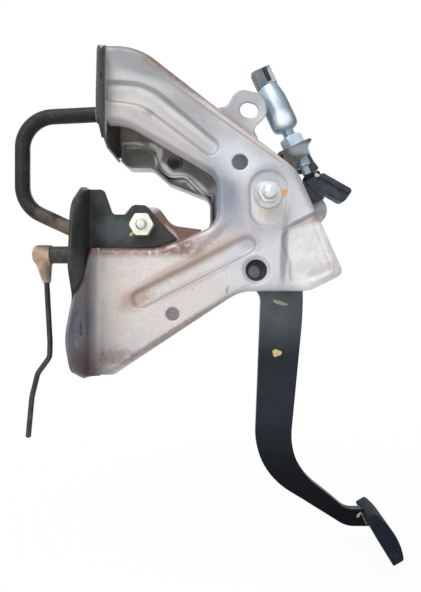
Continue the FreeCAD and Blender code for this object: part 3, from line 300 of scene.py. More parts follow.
# Lighter and darker patches of the near plate, some of them painted light and shade: centre, reach
# and turn of an ellipsoid, colour, amount, softness and raggedness
NEAR_TONES_AND_PAINTED_LIGHT = (
    ((45, -30, 192), (78, 40, 36), 36, "8d8e8f", 0.9, 1.0, 0.2),
    ((42, -28, 206), (30, 14, 9), 24, "6f7174", 0.75, 1.0, 0.2),
    ((34, -30, 190), (36, 12, 7), 12, "aaabaa", 0.75, 1.0, 0.2),
    # Painted highlight under the upper bead
    ((36, -30, 178), (30, 40, 7), 22, "b1b2b1", 0.6, 1.2, 0.2),
    ((66, -30, 160), (62, 40, 10), 34, "a9a8aa", 0.75, 0.9, 0.1),
    ((46, -30, 151), (58, 40, 6), 31, "b2a8a4", 0.7, 1.2, 0.3),
    # Pinkish rim along the upper edge, dust with a painted highlight, and a painted shade line beside
    # it
    ((127, -30, 151.2), (46, 14, 4.6), 35.5, "d6c5bc", 0.75, 0.8, 0.2),
    ((106.4, -30, 161.6), (64, 40, 1.1), 35.5, "7f7c80", 0.65, 0.6, 0.1),
    # Painted shade on the mouth's right lip
    ((107, -30, 104), (15, 40, 36), 0, "767c8a", 0.9, 1.2, 0.2),
    ((101, -30, 77), (18, 40, 13), -30, "a5a4ac", 0.6, 1.2, 0.2),
    ((122, -30, 128), (24, 40, 14), 36, "d3d6dc", 0.7, 1.2, 0.2),
    # Painted shade ring round the pivot land, the lighter patch over its middle, and painted shade on
    # its top
    ((145, -30, 100), (20, 40, 25), 0, "a4a5ad", 0.7, 0.4, 0.05),
    ((144, -30, 97.5), (15, 40, 20.5), 0, "cbcbca", 0.9, 0.3, 0.05),
    ((148, -30, 118), (14, 40, 7), 0, "a4a9ae", 0.6, 1.0, 0.2),
    ((170, -30, 93), (9, 40, 28), -24, "c6c8cb", 0.7, 1.0, 0.1),
    ((180, -30, 54), (26, 40, 30), 0, "e6e6e4", 0.85, 0.9, 0.1),
    ((62, -30, 26), (66, 40, 40), -22, "c9c3be", 0.85, 1.0, 0.2),
    ((111.6, -30, 28), (0.9, 10, 3.2), 15, "655c5e", 0.7, 0.4, 0.1),
    ((121.7, -30, 157.4), (0.7, 10, 3.0), 0, "7b706d", 0.6, 0.4, 0.1),
    ((24, -30, 30), (12, 40, 32), 0, "c6bdb5", 0.7, 1.2, 0.2),
    ((128, -30, 50), (34, 40, 18), 0, "cfcfd3", 0.7, 1.2, 0.2),
    ((118, -30, 50), (12, 40, 8), 0, "b9b9bd", 0.5, 1.2, 0.2),
    ((82, -30, 48.6), (50, 40, 5.2), -27, "ac9385", 0.75, 1.0, 0.3),
    ((40, -30, 21), (13, 40, 7), -27, "a18472", 0.75, 1.0, 0.4),
    # Painted shade on the lower bead's lower flank and at its end
    ((88.5, -30, 36.0), (50, 40, 3.0), -27, "a39a9b", 0.75, 0.8, 0.2),
    ((130, -30, 66), (9, 40, 6), -20, "9d98ab", 0.6, 1.2, 0.2),
    # Painted shade lines along the panel step, with a painted highlight under the upper one
    ((156, -30, 57), (3.0, 40, 24), 3, "7f808b", 0.8, 0.9, 0.1),
    ((171, -30, 83.2), (15, 40, 1.8), -27, "756a6b", 0.8, 0.8, 0.3),
    ((175, -30, 80.4), (8, 40, 2.0), -27, "d9c9b8", 0.6, 1.0, 0.3),
    ((183, -30, 87), (5, 20, 4), 0, "a08472", 0.5, 1.2, 0.5),
    ((32, -30, 175), (17, 40, 4.2), 6, "bbb1a9", 0.6, 1.0, 0.2),
    ((68, -30, 155.5), (33, 40, 4.2), 37, "bdb3ab", 0.6, 1.0, 0.2),
    # Painted highlights along the upper bead's ridge
    ((25, -30, 187.2), (13, 40, 2.2), 2, "c8c7c8", 0.3, 1.0, 0.1),
    ((46, -30, 183), (7.5, 40, 2.2), 27, "c0bfc0", 0.45, 1.0, 0.1),
    ((77, -30, 160.6), (29, 40, 2.2), 38.4, "d0cfd0", 0.4, 1.0, 0.1),
    ((20, -25, 144), (12, 12, 6), 20, "4f4a46", 0.8, 1.0, 0.3),
    ((121, -24, 178), (22, 14, 17), 0, "94959a", 0.75, 0.8, 0.2),
)
# Flanges, bends and lips of the near plate: three ramps each, then colour and amount. Painted shade
# on the upper flange, on the lower flange, on its bend and round its boss, and dark brown at its
# lower corner
NEAR_SHADE_AND_CORNER_BANDS = (
    (((-1, 0, 0), -17.4, -15.9), ((0, 0, 1), 130, 140), ((0, 0, 1), 130, 140), "343236", 0.95),
    (((-1, 0, 0), -11, -6), ((0, 0, -1), -70, -64), ((0, -1, 0), 22, 27), "575459", 0.9),
    (((-1, 0, 0), -13, -8), ((0, 0, -1), -70, -64), ((0, 0, 1), -36, -10), "8a8584", 0.5),
    (((0, 0, -1), 8, 34), ((-1, 0, 0), -26, -8), ((0, -1, 0), 22, 27), "53443f", 0.9),
    (((-1, 0, 0), -9.5, -4), ((0, 0, 1), -12, -3), ((0, 0, -1), -22, -10), "555a76", 0.65),
)
# Rusted upper lip of the lower arm
LIP_BAND = (((0, 0, 1), 51.8, 57.0), ((-1, 0, 0), -96, -80), ((0, 0, -1), -92, -86))
# Rust and brown storage dust, thin on the rims and thick on the ear and the lower corner:
# centre, reach and turn of an ellipsoid, amount, softness and raggedness
NEAR_RUST = (
    ((68, -27, 199), (34, 12, 5.5), 37, 0.65, 1.0, 0.7),
    ((52, -30, 206), (6, 12, 4), 30, 0.6, 0.8, 0.9),
    ((124, -27, 157), (44, 12, 3.5), 35, 0.3, 1.0, 0.5),
    ((173, -27, 107), (26, 12, 4.5), 62, 0.4, 1.0, 0.5),
    ((24, -30, -24), (14, 20, 5.5), -8, 0.6, 1.1, 1.0),
    ((50, -30, 166), (3.6, 12, 3.4), 0, 0.45, 1.0, 1.4),
    ((188, -30, 42), (11, 12, 9), 0, 0.3, 1.2, 1.0),
    ((178, -30, 68), (13, 12, 10), 0, 0.14, 1.2, 1.6),
    ((196, -30, 60), (6, 12, 14), 0, 0.2, 1.2, 1.4),
    ((170, -30, 46), (11, 12, 6), 0, 0.14, 1.2, 1.6),
    ((150, -30, 88), (10, 12, 7), 0, 0.2, 1.2, 0.9),
    ((67, -30, -6.2), (56, 14, 2.6), -32, 0.65, 1.0, 0.5),
    ((98, -27, 67), (17, 12, 3.5), -42, 0.5, 1.0, 0.6),
    ((181, -28, 84), (4.0, 8, 4.0), 0, 0.6, 1.2, 0.6),
)
# The same for the far plate's inner face: grime with painted shade between the plates, a painted
# highlight along the ridge of its step, a dark brown strip under it, the blind cup painted dark as a
# hole in shade, and painted light for what shows through the mouth and the round holes
FAR_GRIME_AND_PAINTED_LIGHT = (
    ((44, 28, 146), (92, 40, 40), 34, "7a7773", 0.92, 0.6, 0.2),
    ((30, 28, 149), (18, 40, 13), 10, "6e706a", 0.85, 0.8, 0.4),
    ((16, 28, 163), (14, 40, 11), 0, "a89c91", 0.8, 0.8, 0.4),
    ((74, 28, 116), (26, 40, 4.0), 26, "6a5b54", 0.8, 0.9, 0.4),
    ((29, 25, 158.2), (11, 40, 2.6), 0, "d9cdbf", 0.85, 0.9, 0.2),
    ((47, 25, 155.4), (6, 40, 2.8), 35, "ece6dd", 0.9, 0.9, 0.1),
    ((50.6, 25, 147), (2.8, 40, 8), 18, "e8e2da", 0.9, 0.9, 0.1),
    ((58, 25, 135.4), (9.5, 40, 3.0), 49, "efebe6", 0.9, 0.9, 0.1),
    ((70, 25, 129.6), (9.5, 40, 3.6), 7, "f6f4f1", 0.95, 0.9, 0.1),
    ((86, 25, 119.6), (14, 40, 4.2), 42, "f8f8f8", 0.95, 0.9, 0.1),
    ((65.4, 27, 142.3), (7, 12, 6), 0, "1c1b1a", 0.95, 0.4, 0.1),
    ((104, 24, 104), (14, 6, 26), 0, "b4b6c0", 0.85, 0.3, 0.1),
    ((123.4, 22, 142.7), (20, 7, 20), 0, "f8f9fa", 0.98, 0.2, 0.05),
    ((70, 22, 6), (22, 7, 22), 0, "dcdadb", 0.9, 0.2, 0.05),
)
# Centre, reach, softness, raggedness and turn of the red ear behind the dash bracket, the pale rub
# along the bracket's edge, the dusty end of the lower arm, and three parts of the pedal arm: its
# middle and top, lightened by painted light, and the painted highlight on its bend
EAR = ((76, -16, 76), (34, 7.5, 26), 0.2, 0.05)
EAR_RUB = ((68.5, -17, 73.0), (9, 5, 2.0), 0.8, 0.6, 49)
DUSTY_END = ((30, -30, 22), (56, 20, 44), 1.2, 0.2)
ARM_HALF_LIT_MIDDLE = ((150, 0, -36), (60, 60, 66), 1.2, 0.05)
ARM_LIT_TOP = ((150, 0, 32), (60, 60, 40), 1.2, 0.05)
ARM_BEND_HIGHLIGHT = ((136, -2, -104), (3.4, 5, 9), 0.9, 0.3, -20)


def pressed_zinc_sheet(
        name, tone, patches=(), bands=(), rust_patches=(), side=None, rub_and_highlight=(1.0, 0.2)):
    """Pressed galvanised sheet: cloudy satin silver, browned along the rims and, with dust and
    painted shade, in the hollows, with painted light and shade laid in patches and bands.
    """
    material, tree, shader, where = begin(name, 0.3, 0.4)
    # Hot-dipped zinc coat: broad lavender and silver clouds of about a thumb's breadth
    colour = mottle(tree, where, 30, tone)
    # Patches of tone and of painted light and shade, only on faces turned to a side when one is given
    for centre, reach, turn, code, amount, soft, ragged in patches:
        inside = spot(tree, where, centre, reach, soft, ragged, turn)
        if side:
            inside = times(tree, inside, facing(tree, side))
        colour = lay(tree, colour, code, inside, amount)
    # Bands of painted shade, and of dark brown, on the flanges and bends
    for *ramps, code, amount in bands:
        colour = lay(tree, colour, code, within(tree, where, ramps), amount)
    # Faint rolling streaks along the sheet, drawn at 2 mm so that they show
    streaks = mask(tree, where, 2.0, 0.5, 0.8, stretch=(0.1, 1, 1))
    colour = lay(tree, colour, "dedbda", streaks, 0.07)
    # Painted shade, lavender, in the creases of the beads, and storage dust with painted shade,
    # browner, in the deep corners
    colour = lay(tree, colour, "8d8896", hollows(tree, 3.0, 0.62, 0.95), 0.25)
    colour = lay(tree, colour, "7d6e68", hollows(tree, 5.0, 0.3, 0.75), 0.5)
    rust = mottle(tree, where, 4.0, ((0.3, "624338"), (0.55, "806257"), (0.8, "98796c")))
    for centre, reach, turn, amount, soft, ragged in rust_patches:
        inside = spot(tree, where, centre, reach, soft, ragged, turn)
        colour = lay(tree, colour, rust, inside, amount)
    if rust_patches:
        lip = times(tree, within(tree, where, LIP_BAND), mask(tree, where, 5.0, 0.25, 0.5))
        colour = lay(tree, colour, rust, lip, 0.9)
        # Ear behind the black bracket: primed red-brown, rubbed pale along the bracket's edge
        primer = mottle(tree, where, 9.0, ((0.3, "593a31"), (0.7, "6e4a40")))
        colour = lay(tree, colour, primer, spot(tree, where, *EAR), 0.9)
        colour = lay(tree, colour, "b9aea8", spot(tree, where, *EAR_RUB), 0.8)
        # Fine brown storage dust, thick at the dash end of the lower arm, grains drawn at 1.2 mm
        dust = times(tree, mask(tree, where, 1.2, 0.5, 0.66), spot(tree, where, *DUSTY_END))
        colour = lay(tree, colour, "93847b", dust, 0.5)
    # Dark specks where grit broke the coat, about 1 mm each and far apart
    specks = mask(tree, where, 2.6, 0.69, 0.73, 2.0)
    colour = lay(tree, colour, "5c544f", specks, 0.45)
    # Rims stay bright where hands rub them, and on the far plate a wider, stronger rim is a painted
    # highlight along its edges
    colour = lay(tree, colour, "e4e1e0", edges(tree, rub_and_highlight[0], 0.06, 0.4), rub_and_highlight[1])
    dulling(tree, shader, mask(tree, where, 6.0, 0.35, 0.7), 0.34, 0.48)
    surface(tree, shader, colour, mask(tree, where, 7.0, 0.2, 0.8), 0.06, 2.4)
    return material


def black_paint(name, tone, worn, roughness=0.34, wear=0.6, size=6.0, patches=()):
    """Dipped black paint over steel: even, slightly glossy, worn through on the edges."""
    material, tree, shader, where = begin(name, 0.0, roughness, 0.2)
    colour = mottle(tree, where, size, tone)
    # Patches of other colour: brown stains on the hoop, a paler patch on the switch bracket and a
    # painted sheen on the dash bracket
    for centre, reach, code, amount in patches:
        colour = lay(tree, colour, code, spot(tree, where, centre, reach, 1.0, 0.7), amount)
    scuffs = mask(tree, where, 1.2, 0.60, 0.72, 4.0, (0.2, 1, 1))
    colour = lay(tree, colour, worn, scuffs, 0.35)
    colour = lay(tree, colour, worn, edges(tree, 0.7), wear)
    colour = lay(tree, colour, "4a423b", hollows(tree, 5.0), 0.35)
    dulling(tree, shader, mask(tree, where, 3.0, 0.3, 0.7), roughness - 0.06, roughness + 0.14)
    # Orange peel of the dipped coat, drawn at 1.5 mm
    surface(tree, shader, colour, mask(tree, where, 1.5, 0.2, 0.8), 0.03, 0.8)
    return material


def bright_zinc(name, tone, roughness, metallic, cloud=9.0, sides=(), patches=()):
    """Electroplated zinc: bluish white metal with a soft shine, darker in the corners."""
    material, tree, shader, where = begin(name, metallic, roughness)
    colour = mottle(tree, where, cloud, tone, 1.5)
    # Painted shade down one side from ramps, then spots of painted highlight and painted shade
    for direction, start, end, code, amount in sides:
        colour = lay(tree, colour, code, ramp(tree, where, direction, start, end), amount)
    for centre, reach, turn, code, amount in patches:
        colour = lay(tree, colour, code, spot(tree, where, centre, reach, 0.9, 0.2, turn), amount)
    colour = lay(tree, colour, "6d675c", hollows(tree, 3.0), 0.6)
    dulling(tree, shader, mask(tree, where, 3.0, 0.35, 0.7), roughness - 0.04, roughness + 0.06)
    # Plating follows the turned steel: ripples of a few thousandths, drawn at 2 mm
    surface(tree, shader, colour, mask(tree, where, 2.0, 0.3, 0.7), 0.004, 0.6)
    return material


def moulded_plastic(name, tone, roughness, subsurface=0.0, blotches=()):
    """Injection moulded plastic: even colour with a fine spark-eroded grain."""
    material, tree, shader, where = begin(name, 0.0, roughness)
    shader.inputs["Subsurface Weight"].default_value = subsurface
    shader.inputs["Subsurface Scale"].default_value = 0.002
    colour = mottle(tree, where, 4.0, tone)
    for centre, reach, code, amount in blotches:
        colour = lay(tree, colour, code, spot(tree, where, centre, reach, 0.8, 0.4), amount)
    colour = lay(tree, colour, "3d352c", hollows(tree, 3.0), 0.5)
    dulling(tree, shader, mask(tree, where, 2.0, 0.3, 0.7), roughness - 0.05, roughness + 0.1)
    surface(tree, shader, colour, mask(tree, where, 0.5, 0.2, 0.8), 0.015, 0.5)
    return material


def pad_rubber():
    """Moulded natural rubber: near black with a grey bloom, matt and very finely grained."""
    material, tree, shader, where = begin("moulded_rubber", 0.0, 0.65, 0.08)
    colour = mottle(tree, where, 8.0, ((0.3, "121823"), (0.6, "1b222e"), (0.8, "262e3a")))
    dust = times(tree, hollows(tree, 3.0), mask(tree, where, 1.2, 0.4, 0.7))
    colour = lay(tree, colour, "5a5850", dust, 0.5)
    colour = lay(tree, colour, "454d59", edges(tree, 0.8), 0.08)
    dulling(tree, shader, mask(tree, where, 4.0, 0.3, 0.7), 0.52, 0.72)
    surface(tree, shader, colour, mask(tree, where, 0.6, 0.2, 0.8), 0.03, 0.6)
    return material


def arm_paint():
    """Black dipped arm, lightened towards the top by painted light: slate grey and dusty at the top,
    near black below.
    """
    material, tree, shader, where = begin("dipped_black_arm", 0.0, 0.4, 0.08)
    colour = mottle(tree, where, 14.0, ((0.3, "05070c"), (0.55, "080b10"), (0.8, "0b0e14")), 1.5)
    # Painted light: dark grey over the middle and slate grey over the top
    dark = mottle(tree, where, 14.0, ((0.3, "262c31"), (0.8, "2c3338")), 1.5)
    colour = lay(tree, colour, dark, spot(tree, where, *ARM_HALF_LIT_MIDDLE), 0.9)
    upper = spot(tree, where, *ARM_LIT_TOP)
    slate = mottle(tree, where, 12.0, ((0.3, "535b5d"), (0.55, "5a6263"), (0.8, "626a6a")), 1.5)
    colour = lay(tree, colour, slate, upper, 0.95)
    dusty = mask(tree, where, 2.6, 0.5, 0.75, 4.0)
    colour = lay(tree, colour, "7a7b76", times(tree, upper, dusty), 0.2)
    colour = lay(tree, colour, "5c5b58", edges(tree, 0.8), 0.12)
    # Painted highlight on the outside of the bend
    bend_highlight = times(tree, spot(tree, where, *ARM_BEND_HIGHLIGHT), facing(tree, (-0.9, 0, -0.4)))
    colour = lay(tree, colour, "8d867f", bend_highlight, 0.7)
    dulling(tree, shader, dusty, 0.34, 0.46)
    surface(tree, shader, colour, mask(tree, where, 3.0, 0.2, 0.8), 0.02, 1.0)
    return material


def weld_steel():
    """Arc weld bead: blued and browned steel with a rippled crust."""
    material, tree, shader, where = begin("arc_weld_bead", 0.6, 0.45)
    colour = mottle(tree, where, 2.0, ((0.3, "3d3a38"), (0.55, "6a6561"), (0.8, "8f8a86")))
    colour = lay(tree, colour, "6b4a37", mask(tree, where, 1.5, 0.55, 0.7), 0.6)
    surface(tree, shader, colour, mask(tree, where, 0.7, 0.3, 0.7), 0.08, 0.0)
    return material


def marking_paint(name, shade):
    """Dab of inspection paint: thick, matt and a little dirty."""
    material, tree, shader, where = begin(name, 0.0, 0.6)
    plain = add(tree, "ShaderNodeRGB").outputs[0]
    plain.default_value = (*shade, 1.0)
    colour = lay(tree, plain, "6e675c", mask(tree, where, 1.0, 0.5, 0.72, 5.0), 0.5)
    surface(tree, shader, colour, mask(tree, where, 0.8, 0.3, 0.7), 0.05, 0.0)
    return material


# Tones of the finishes, from dark to light: place in the clouds and colour
SILVER = ((0.30, "a3a2a7"), (0.5, "b9b8bc"), (0.72, "cdcbcd"))
BROWNED = ((0.30, "2b2421"), (0.5, "3d342f"), (0.72, "524842"))
BLACK = ((0.3, "2a2c2a"), (0.55, "353835"), (0.8, "424543"))
WARM_BLACK = ((0.3, "161715"), (0.55, "212220"), (0.8, "32312d"))
STEEL = ((0.3, "a6abb0"), (0.55, "c2c6cb"), (0.8, "d6d9dc"))
# Radius and height above the striker of the switch's barrel, neck, can and rolled mouth
CAN_PROFILE = (
    (4.2, 8.0), (5.4, 8.0), (6.0, 8.7), (6.0, 36.3), (5.5, 37.0), (4.9, 37.6), (4.8, 39.2),
    (5.0, 40.4), (5.8, 41.3), (7.2, 41.8), (8.8, 42.5), (10.1, 43.8), (10.9, 45.4), (11.25, 47.4),
    (11.3, 50.0), (11.3, 62.0), (11.15, 66.0), (10.8, 70.0), (10.2, 74.0), (9.5, 77.6),
    (9.0, 79.4), (9.1, 80.2), (8.9, 80.8), (8.4, 81.0), (6.0, 81.0),
)
CAN_ZINC = ((0.3, "869db1"), (0.5, "9fb7c9"), (0.7, "b8cddc"))
NUT_ZINC = ((0.3, "a3b8c8"), (0.5, "b6cad8"), (0.7, "c9dae5"))
# Painted light and shade on the can's plating: a painted dark reflection down its right side from a
# ramp, then ellipsoids: painted highlights low down and along it, and a painted dark reflection on
# its left, with colour and amount
CAN_PAINTED_SHADE_SIDE = (
    ((0.909, 0, 0.418), 215.5, 223, "55626f", 0.94),
)
CAN_PAINTED_LIGHT = (
    ((156.5, -10, 168), (7, 14, 7), 0, "ecf2f6", 0.85),
    ((149, -12, 187), (3.4, 14, 16), -24.7, "dae5ec", 0.55),
    ((144, -6, 170), (4.5, 14, 13), -24.7, "55646f", 0.75),
)
DOME_ZINC = ((0.3, "d6dee3"), (0.55, "e3e9ed"), (0.8, "eff3f5"))
WHITE_ZINC = ((0.3, "c6c5c5"), (0.55, "d8d8d8"), (0.8, "e6e6e6"))
CREAM_ZINC = ((0.3, "bfbfb2"), (0.55, "d6d6c9"), (0.8, "e8e8dc"))
# Paint dabs: name, shade, body, slot, centre on the face, half sizes and turn
MARKS = (
    ("mark_orange", "orange", "bracket", "bare_sheet", (157.2, -28.5, 104.4), (3.4, 2.9), 20),
    ("mark_orange_rim", "orange", "bracket", "bare_sheet", (159.2, -29.3, 104.4), (1.5, 2.4), 10),
    ("mark_ochre", "ochre", "bracket", "bare_sheet", (140.4, -28.5, 88.2), (4.2, 2.4), -10),
    ("mark_arm_streak", "cream", "pedal", "arm_paint", (155.7, -4.0, 17.6), (7.0, 1.7), -20),
    ("mark_arm_dab", "yellow", "pedal", "arm_paint", (152.8, -4.0, -24.2), (4.0, 2.6), 4),
    ("mark_nut", "yellow", "bracket", "zinc", (36.0, -22.5, 72.6), (2.4, 1.3), 40),
    ("mark_striker", "pale", "pedal", "arm_paint", (185.4, -9.0, 122.4), (2.2, 1.4), -10),
    ("mark_pad_weld", "cream", "pedal", "arm_paint", (227.6, 21.0, -169.6), (2.6, 1.3), 55),
)


def coat(nodes, material):
    """Give solid model nodes one finish."""
    for name in nodes:
        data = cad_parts[name].data
        data.materials.clear()
        data.materials.append(material)


def new_piece(name, mesh, material, body, smooth=35.0):
    """Object from a mesh in place, with its finish, its body and its material slot."""
    mesh.materials.append(material)
    mesh.shade_smooth()
    mesh.set_sharp_from_angle(angle=math.radians(smooth))
    obj = bpy.data.objects.new(name, mesh)
    bpy.context.scene.collection.objects.link(obj)
    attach(obj, body)
    return obj


def circle(centre, across, other, count):
    """Points round an ellipse with two given half axes."""
    angles = [2 * math.pi * k / count for k in range(count)]
    return [centre + across * math.cos(angle) + other * math.sin(angle) for angle in angles]


def skin(name, rows, closed=False):
    """Mesh over rows of points: faces from each row to the next, the ends capped or joined."""
    bm = bmesh.new()
    rings = [[bm.verts.new(point) for point in row] for row in rows]
    for first, second in zip(rings, rings[1:] + (rings[:1] if closed else [])):
        for k in range(len(first)):
            m = (k + 1) % len(first)
            bm.faces.new((first[k], first[m], second[m], second[k]))
    if not closed:
        bm.faces.new(rings[0])
        bm.faces.new(rings[-1])
    bmesh.ops.recalc_face_normals(bm, faces=bm.faces)
    mesh = bpy.data.meshes.new(name)
    bm.to_mesh(mesh)
    bm.free()
    return mesh


def tube_mesh(name, points, radii, sides=10, squash=None, closed=False):
    """Tube through points with a radius at each, optionally flattened towards a direction."""
    rows = []
    count = len(points)
    normal = None
    flat = 0.72 if squash else 1.0
    for i, point in enumerate(points):
        before = points[(i - 1) % count] if closed or i else points[0]
        after = points[(i + 1) % count] if closed or i < count - 1 else points[-1]
        along = (after - before).normalized()
        if normal is None:
            normal = squash or along.orthogonal()
        across = along.cross(normal).normalized()
        normal = across.cross(along).normalized()
        rows.append(circle(point, across * radii[i], normal * radii[i] * flat, sides))
    return skin(name, rows, closed)


def lathe_mesh(name, base, along, profile, sides):
    """Solid turned about an axis from a profile of (radius, height), its ends closed flat."""
    across = along.orthogonal().normalized()
    other = along.cross(across)
    return skin(name, [
        circle(base + along * height, across * radius, other * radius, sides)
        for radius, height in profile])


def dab_mesh(name, centre, reach, turn, thick, seed):
    """Dab of paint on a face that looks to -Y: a thin dome with a ragged outline."""
    rim = 28
    # Share of the outline and height of each ring, from just inside the face to the top
    rings = ((1.0, -0.2), (0.97, 0.55), (0.8, 0.9), (0.45, 1.0))
    tilt = Matrix.Rotation(math.radians(turn), 3, -ALONG_Y)
    rows = []
    for share, height in rings:
        row = []
        for k in range(rim):
            angle = 2 * math.pi * k / rim
            wave = noise.noise(Vector((1.6 * math.cos(angle), 1.6 * math.sin(angle), seed)))
            size = share * (1 + 0.5 * wave)
            flat = Vector((reach[0] * math.cos(angle), 0, reach[1] * math.sin(angle))) * size
            row.append(centre + tilt @ flat - ALONG_Y * thick * height)
        rows.append(row)
    return skin(name, rows)


def thread_mesh(name, base, along, start, end, radius, pitch, proud):
    """Screw thread as a helical ridge that stands proud of a shank."""
    along = along.normalized()
    across = along.orthogonal().normalized()
    other = along.cross(across)
    turns = (end - start - pitch) / pitch
    steps = max(int(turns * 28), 8)
    # The ridge is rooted a little under the shank's surface, and runs out at both ends
    root = radius - 0.15 * MM
    rows = []
    for i in range(steps + 1):
        share = i / steps
        angle = 2 * math.pi * turns * share
        fade = min(1.0, 6 * share, 6 * (1 - share))
        out = across * math.cos(angle) + other * math.sin(angle)
        middle = start + pitch / 2 + (end - start - pitch) * share
        crest = radius + proud * fade
        profile = ((root, -0.42), (crest, -0.08), (crest, 0.08), (root, 0.42))
        rows.append([base + out * r + along * (middle + h * pitch) for r, h in profile])
    return skin(name, rows)


def weld_mesh(name, points, radius, normal, seed, closed=False):
    """Weld bead along points: overlapping ripples, a little uneven in width."""
    step = 0.45 * MM
    ripple_length = 1.5 * MM
    path = []
    for i in range(len(points) if closed else len(points) - 1):
        a, b = points[i], points[(i + 1) % len(points)]
        steps = max(int((b - a).length / step), 1)
        path += [a.lerp(b, k / steps) for k in range(steps)]
    if not closed:
        path.append(points[-1])
    radii = []
    run = 0.0
    for i, point in enumerate(path):
        run += (point - path[i - 1]).length if i else 0.0
        ripple = (run / ripple_length) % 1.0
        wobble = noise.noise(Vector((run * 180, seed, 0.3)))
        size = radius * (0.88 + 0.2 * ripple + 0.16 * wobble)
        if not closed:
            to_end = min(i, len(path) - 1 - i) / 4
            size *= min(1.0, 0.3 + 0.7 * to_end)
        radii.append(size)
    return tube_mesh(name, path, radii, 10, normal, closed)


def ring_points(centre, radius, axis, count=64):
    """Points of a circle about an axis."""
    across = ALONG_X if abs(axis.x) < 0.9 else ALONG_Z
    return circle(centre, across * radius, axis.cross(across) * radius, count)


def softened(node, name, voxel, rounds):
    """Moulded form from a solid model node: the same shape with its edges melted."""
    temp = bpy.data.objects.new(name + "_form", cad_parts[node].data.copy())
    bpy.context.scene.collection.objects.link(temp)
    remesh = temp.modifiers.new("remesh", "REMESH")
    remesh.mode = "VOXEL"
    remesh.voxel_size = voxel * MM
    smooth = temp.modifiers.new("smooth", "SMOOTH")
    smooth.factor = 0.5
    smooth.iterations = rounds
    shape = temp.evaluated_get(bpy.context.evaluated_depsgraph_get())
    mesh = bpy.data.meshes.new_from_object(shape)
    mesh.name = name
    mesh.materials.clear()
    bpy.data.objects.remove(temp)
    return mesh


def size_property(name, description, default, low, high):
    """Length in millimetres, kept in metres."""
    return bpy.props.FloatProperty(
        name=name, description=description, default=default * MM, min=low * MM, max=high * MM,
        unit="LENGTH", precision=4,
    )


def colour_property(name, description, code):
    """Colour from a hex code."""
    return bpy.props.FloatVectorProperty(
        name=name, description=description, default=linear(code)[:3], min=0, max=1,
        subtype="COLOR", size=3,
    )


class PedalSizes(bpy.types.PropertyGroup):
    """Sizes of the added details."""

    weld: size_property("Weld bead", "Half width of the weld beads", 1.7, 0.5, 4)
    pitch: size_property("Thread pitch", "Pitch of the bolts' threads", 1.25, 0.5, 3)
    mark: size_property("Paint mark", "Thickness of the dabs of inspection paint", 0.25, 0.05, 1)


class PedalColours(bpy.types.PropertyGroup):
    """Colours that a user would change."""

    orange: colour_property("Orange mark", "Dab beside the pivot nut", "e3ab55")
    ochre: colour_property("Ochre mark", "Faded dab under the pivot nut", "d5c5aa")
    cream: colour_property("Cream mark", "Streaks on the arm", "a09f86")
    yellow: colour_property("Yellow mark", "Dabs on the arm and the bracket nut", "c9b872")
    pale: colour_property("Pale mark", "Dab on the striker", "c3c69f")
    floor: colour_property("Floor", "Studio floor", "fafafa")


class PEDAL_OT_side_plates(bpy.types.Operator):
    """Finish the pressed side plates, the bridge and the tie plate, with the bridge welds"""

    bl_idname = "pedal.side_plates"
    bl_label = "Side plates"

    def execute(self, context):
        sizes = context.scene.pedal_sizes
        coat(["side_plate_near"], pressed_zinc_sheet(
            "pressed_zinc_sheet_near", SILVER, NEAR_TONES_AND_PAINTED_LIGHT, NEAR_SHADE_AND_CORNER_BANDS, NEAR_RUST))
        coat(["side_plate_far", "top_bridge"], pressed_zinc_sheet(
            "pressed_zinc_sheet_far", SILVER, FAR_GRIME_AND_PAINTED_LIGHT, side=-ALONG_Y, rub_and_highlight=(1.6, 0.3)))
        coat(["upper_tie_plate"], pressed_zinc_sheet("browned_zinc_sheet", BROWNED))
        low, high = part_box("top_bridge")
        weld = weld_steel()
        start = Vector((low.x + BRIDGE_T * math.sin(SLOPE), 0, high.z))
        end = Vector((high.x, 0, low.z + BRIDGE_T * math.cos(SLOPE)))
        stitches = (("upper", 0.05, 0.3), ("middle", 0.42, 0.6), ("lower", 0.74, 0.93))
        for name, y, seed in (("bridge_weld_near", low.y, 3.0), ("bridge_weld_far", high.y, 4.0)):
            for part, first, last in stitches:
                points = [start.lerp(end, first), start.lerp(end, last)]
                for point in points:
                    point.y = y
                mesh = weld_mesh(name, points, sizes.weld, ALONG_Z, seed + 5 * first)
                new_piece(name + "_" + part, mesh, weld, "bracket", smooth=60)
        return {"FINISHED"}


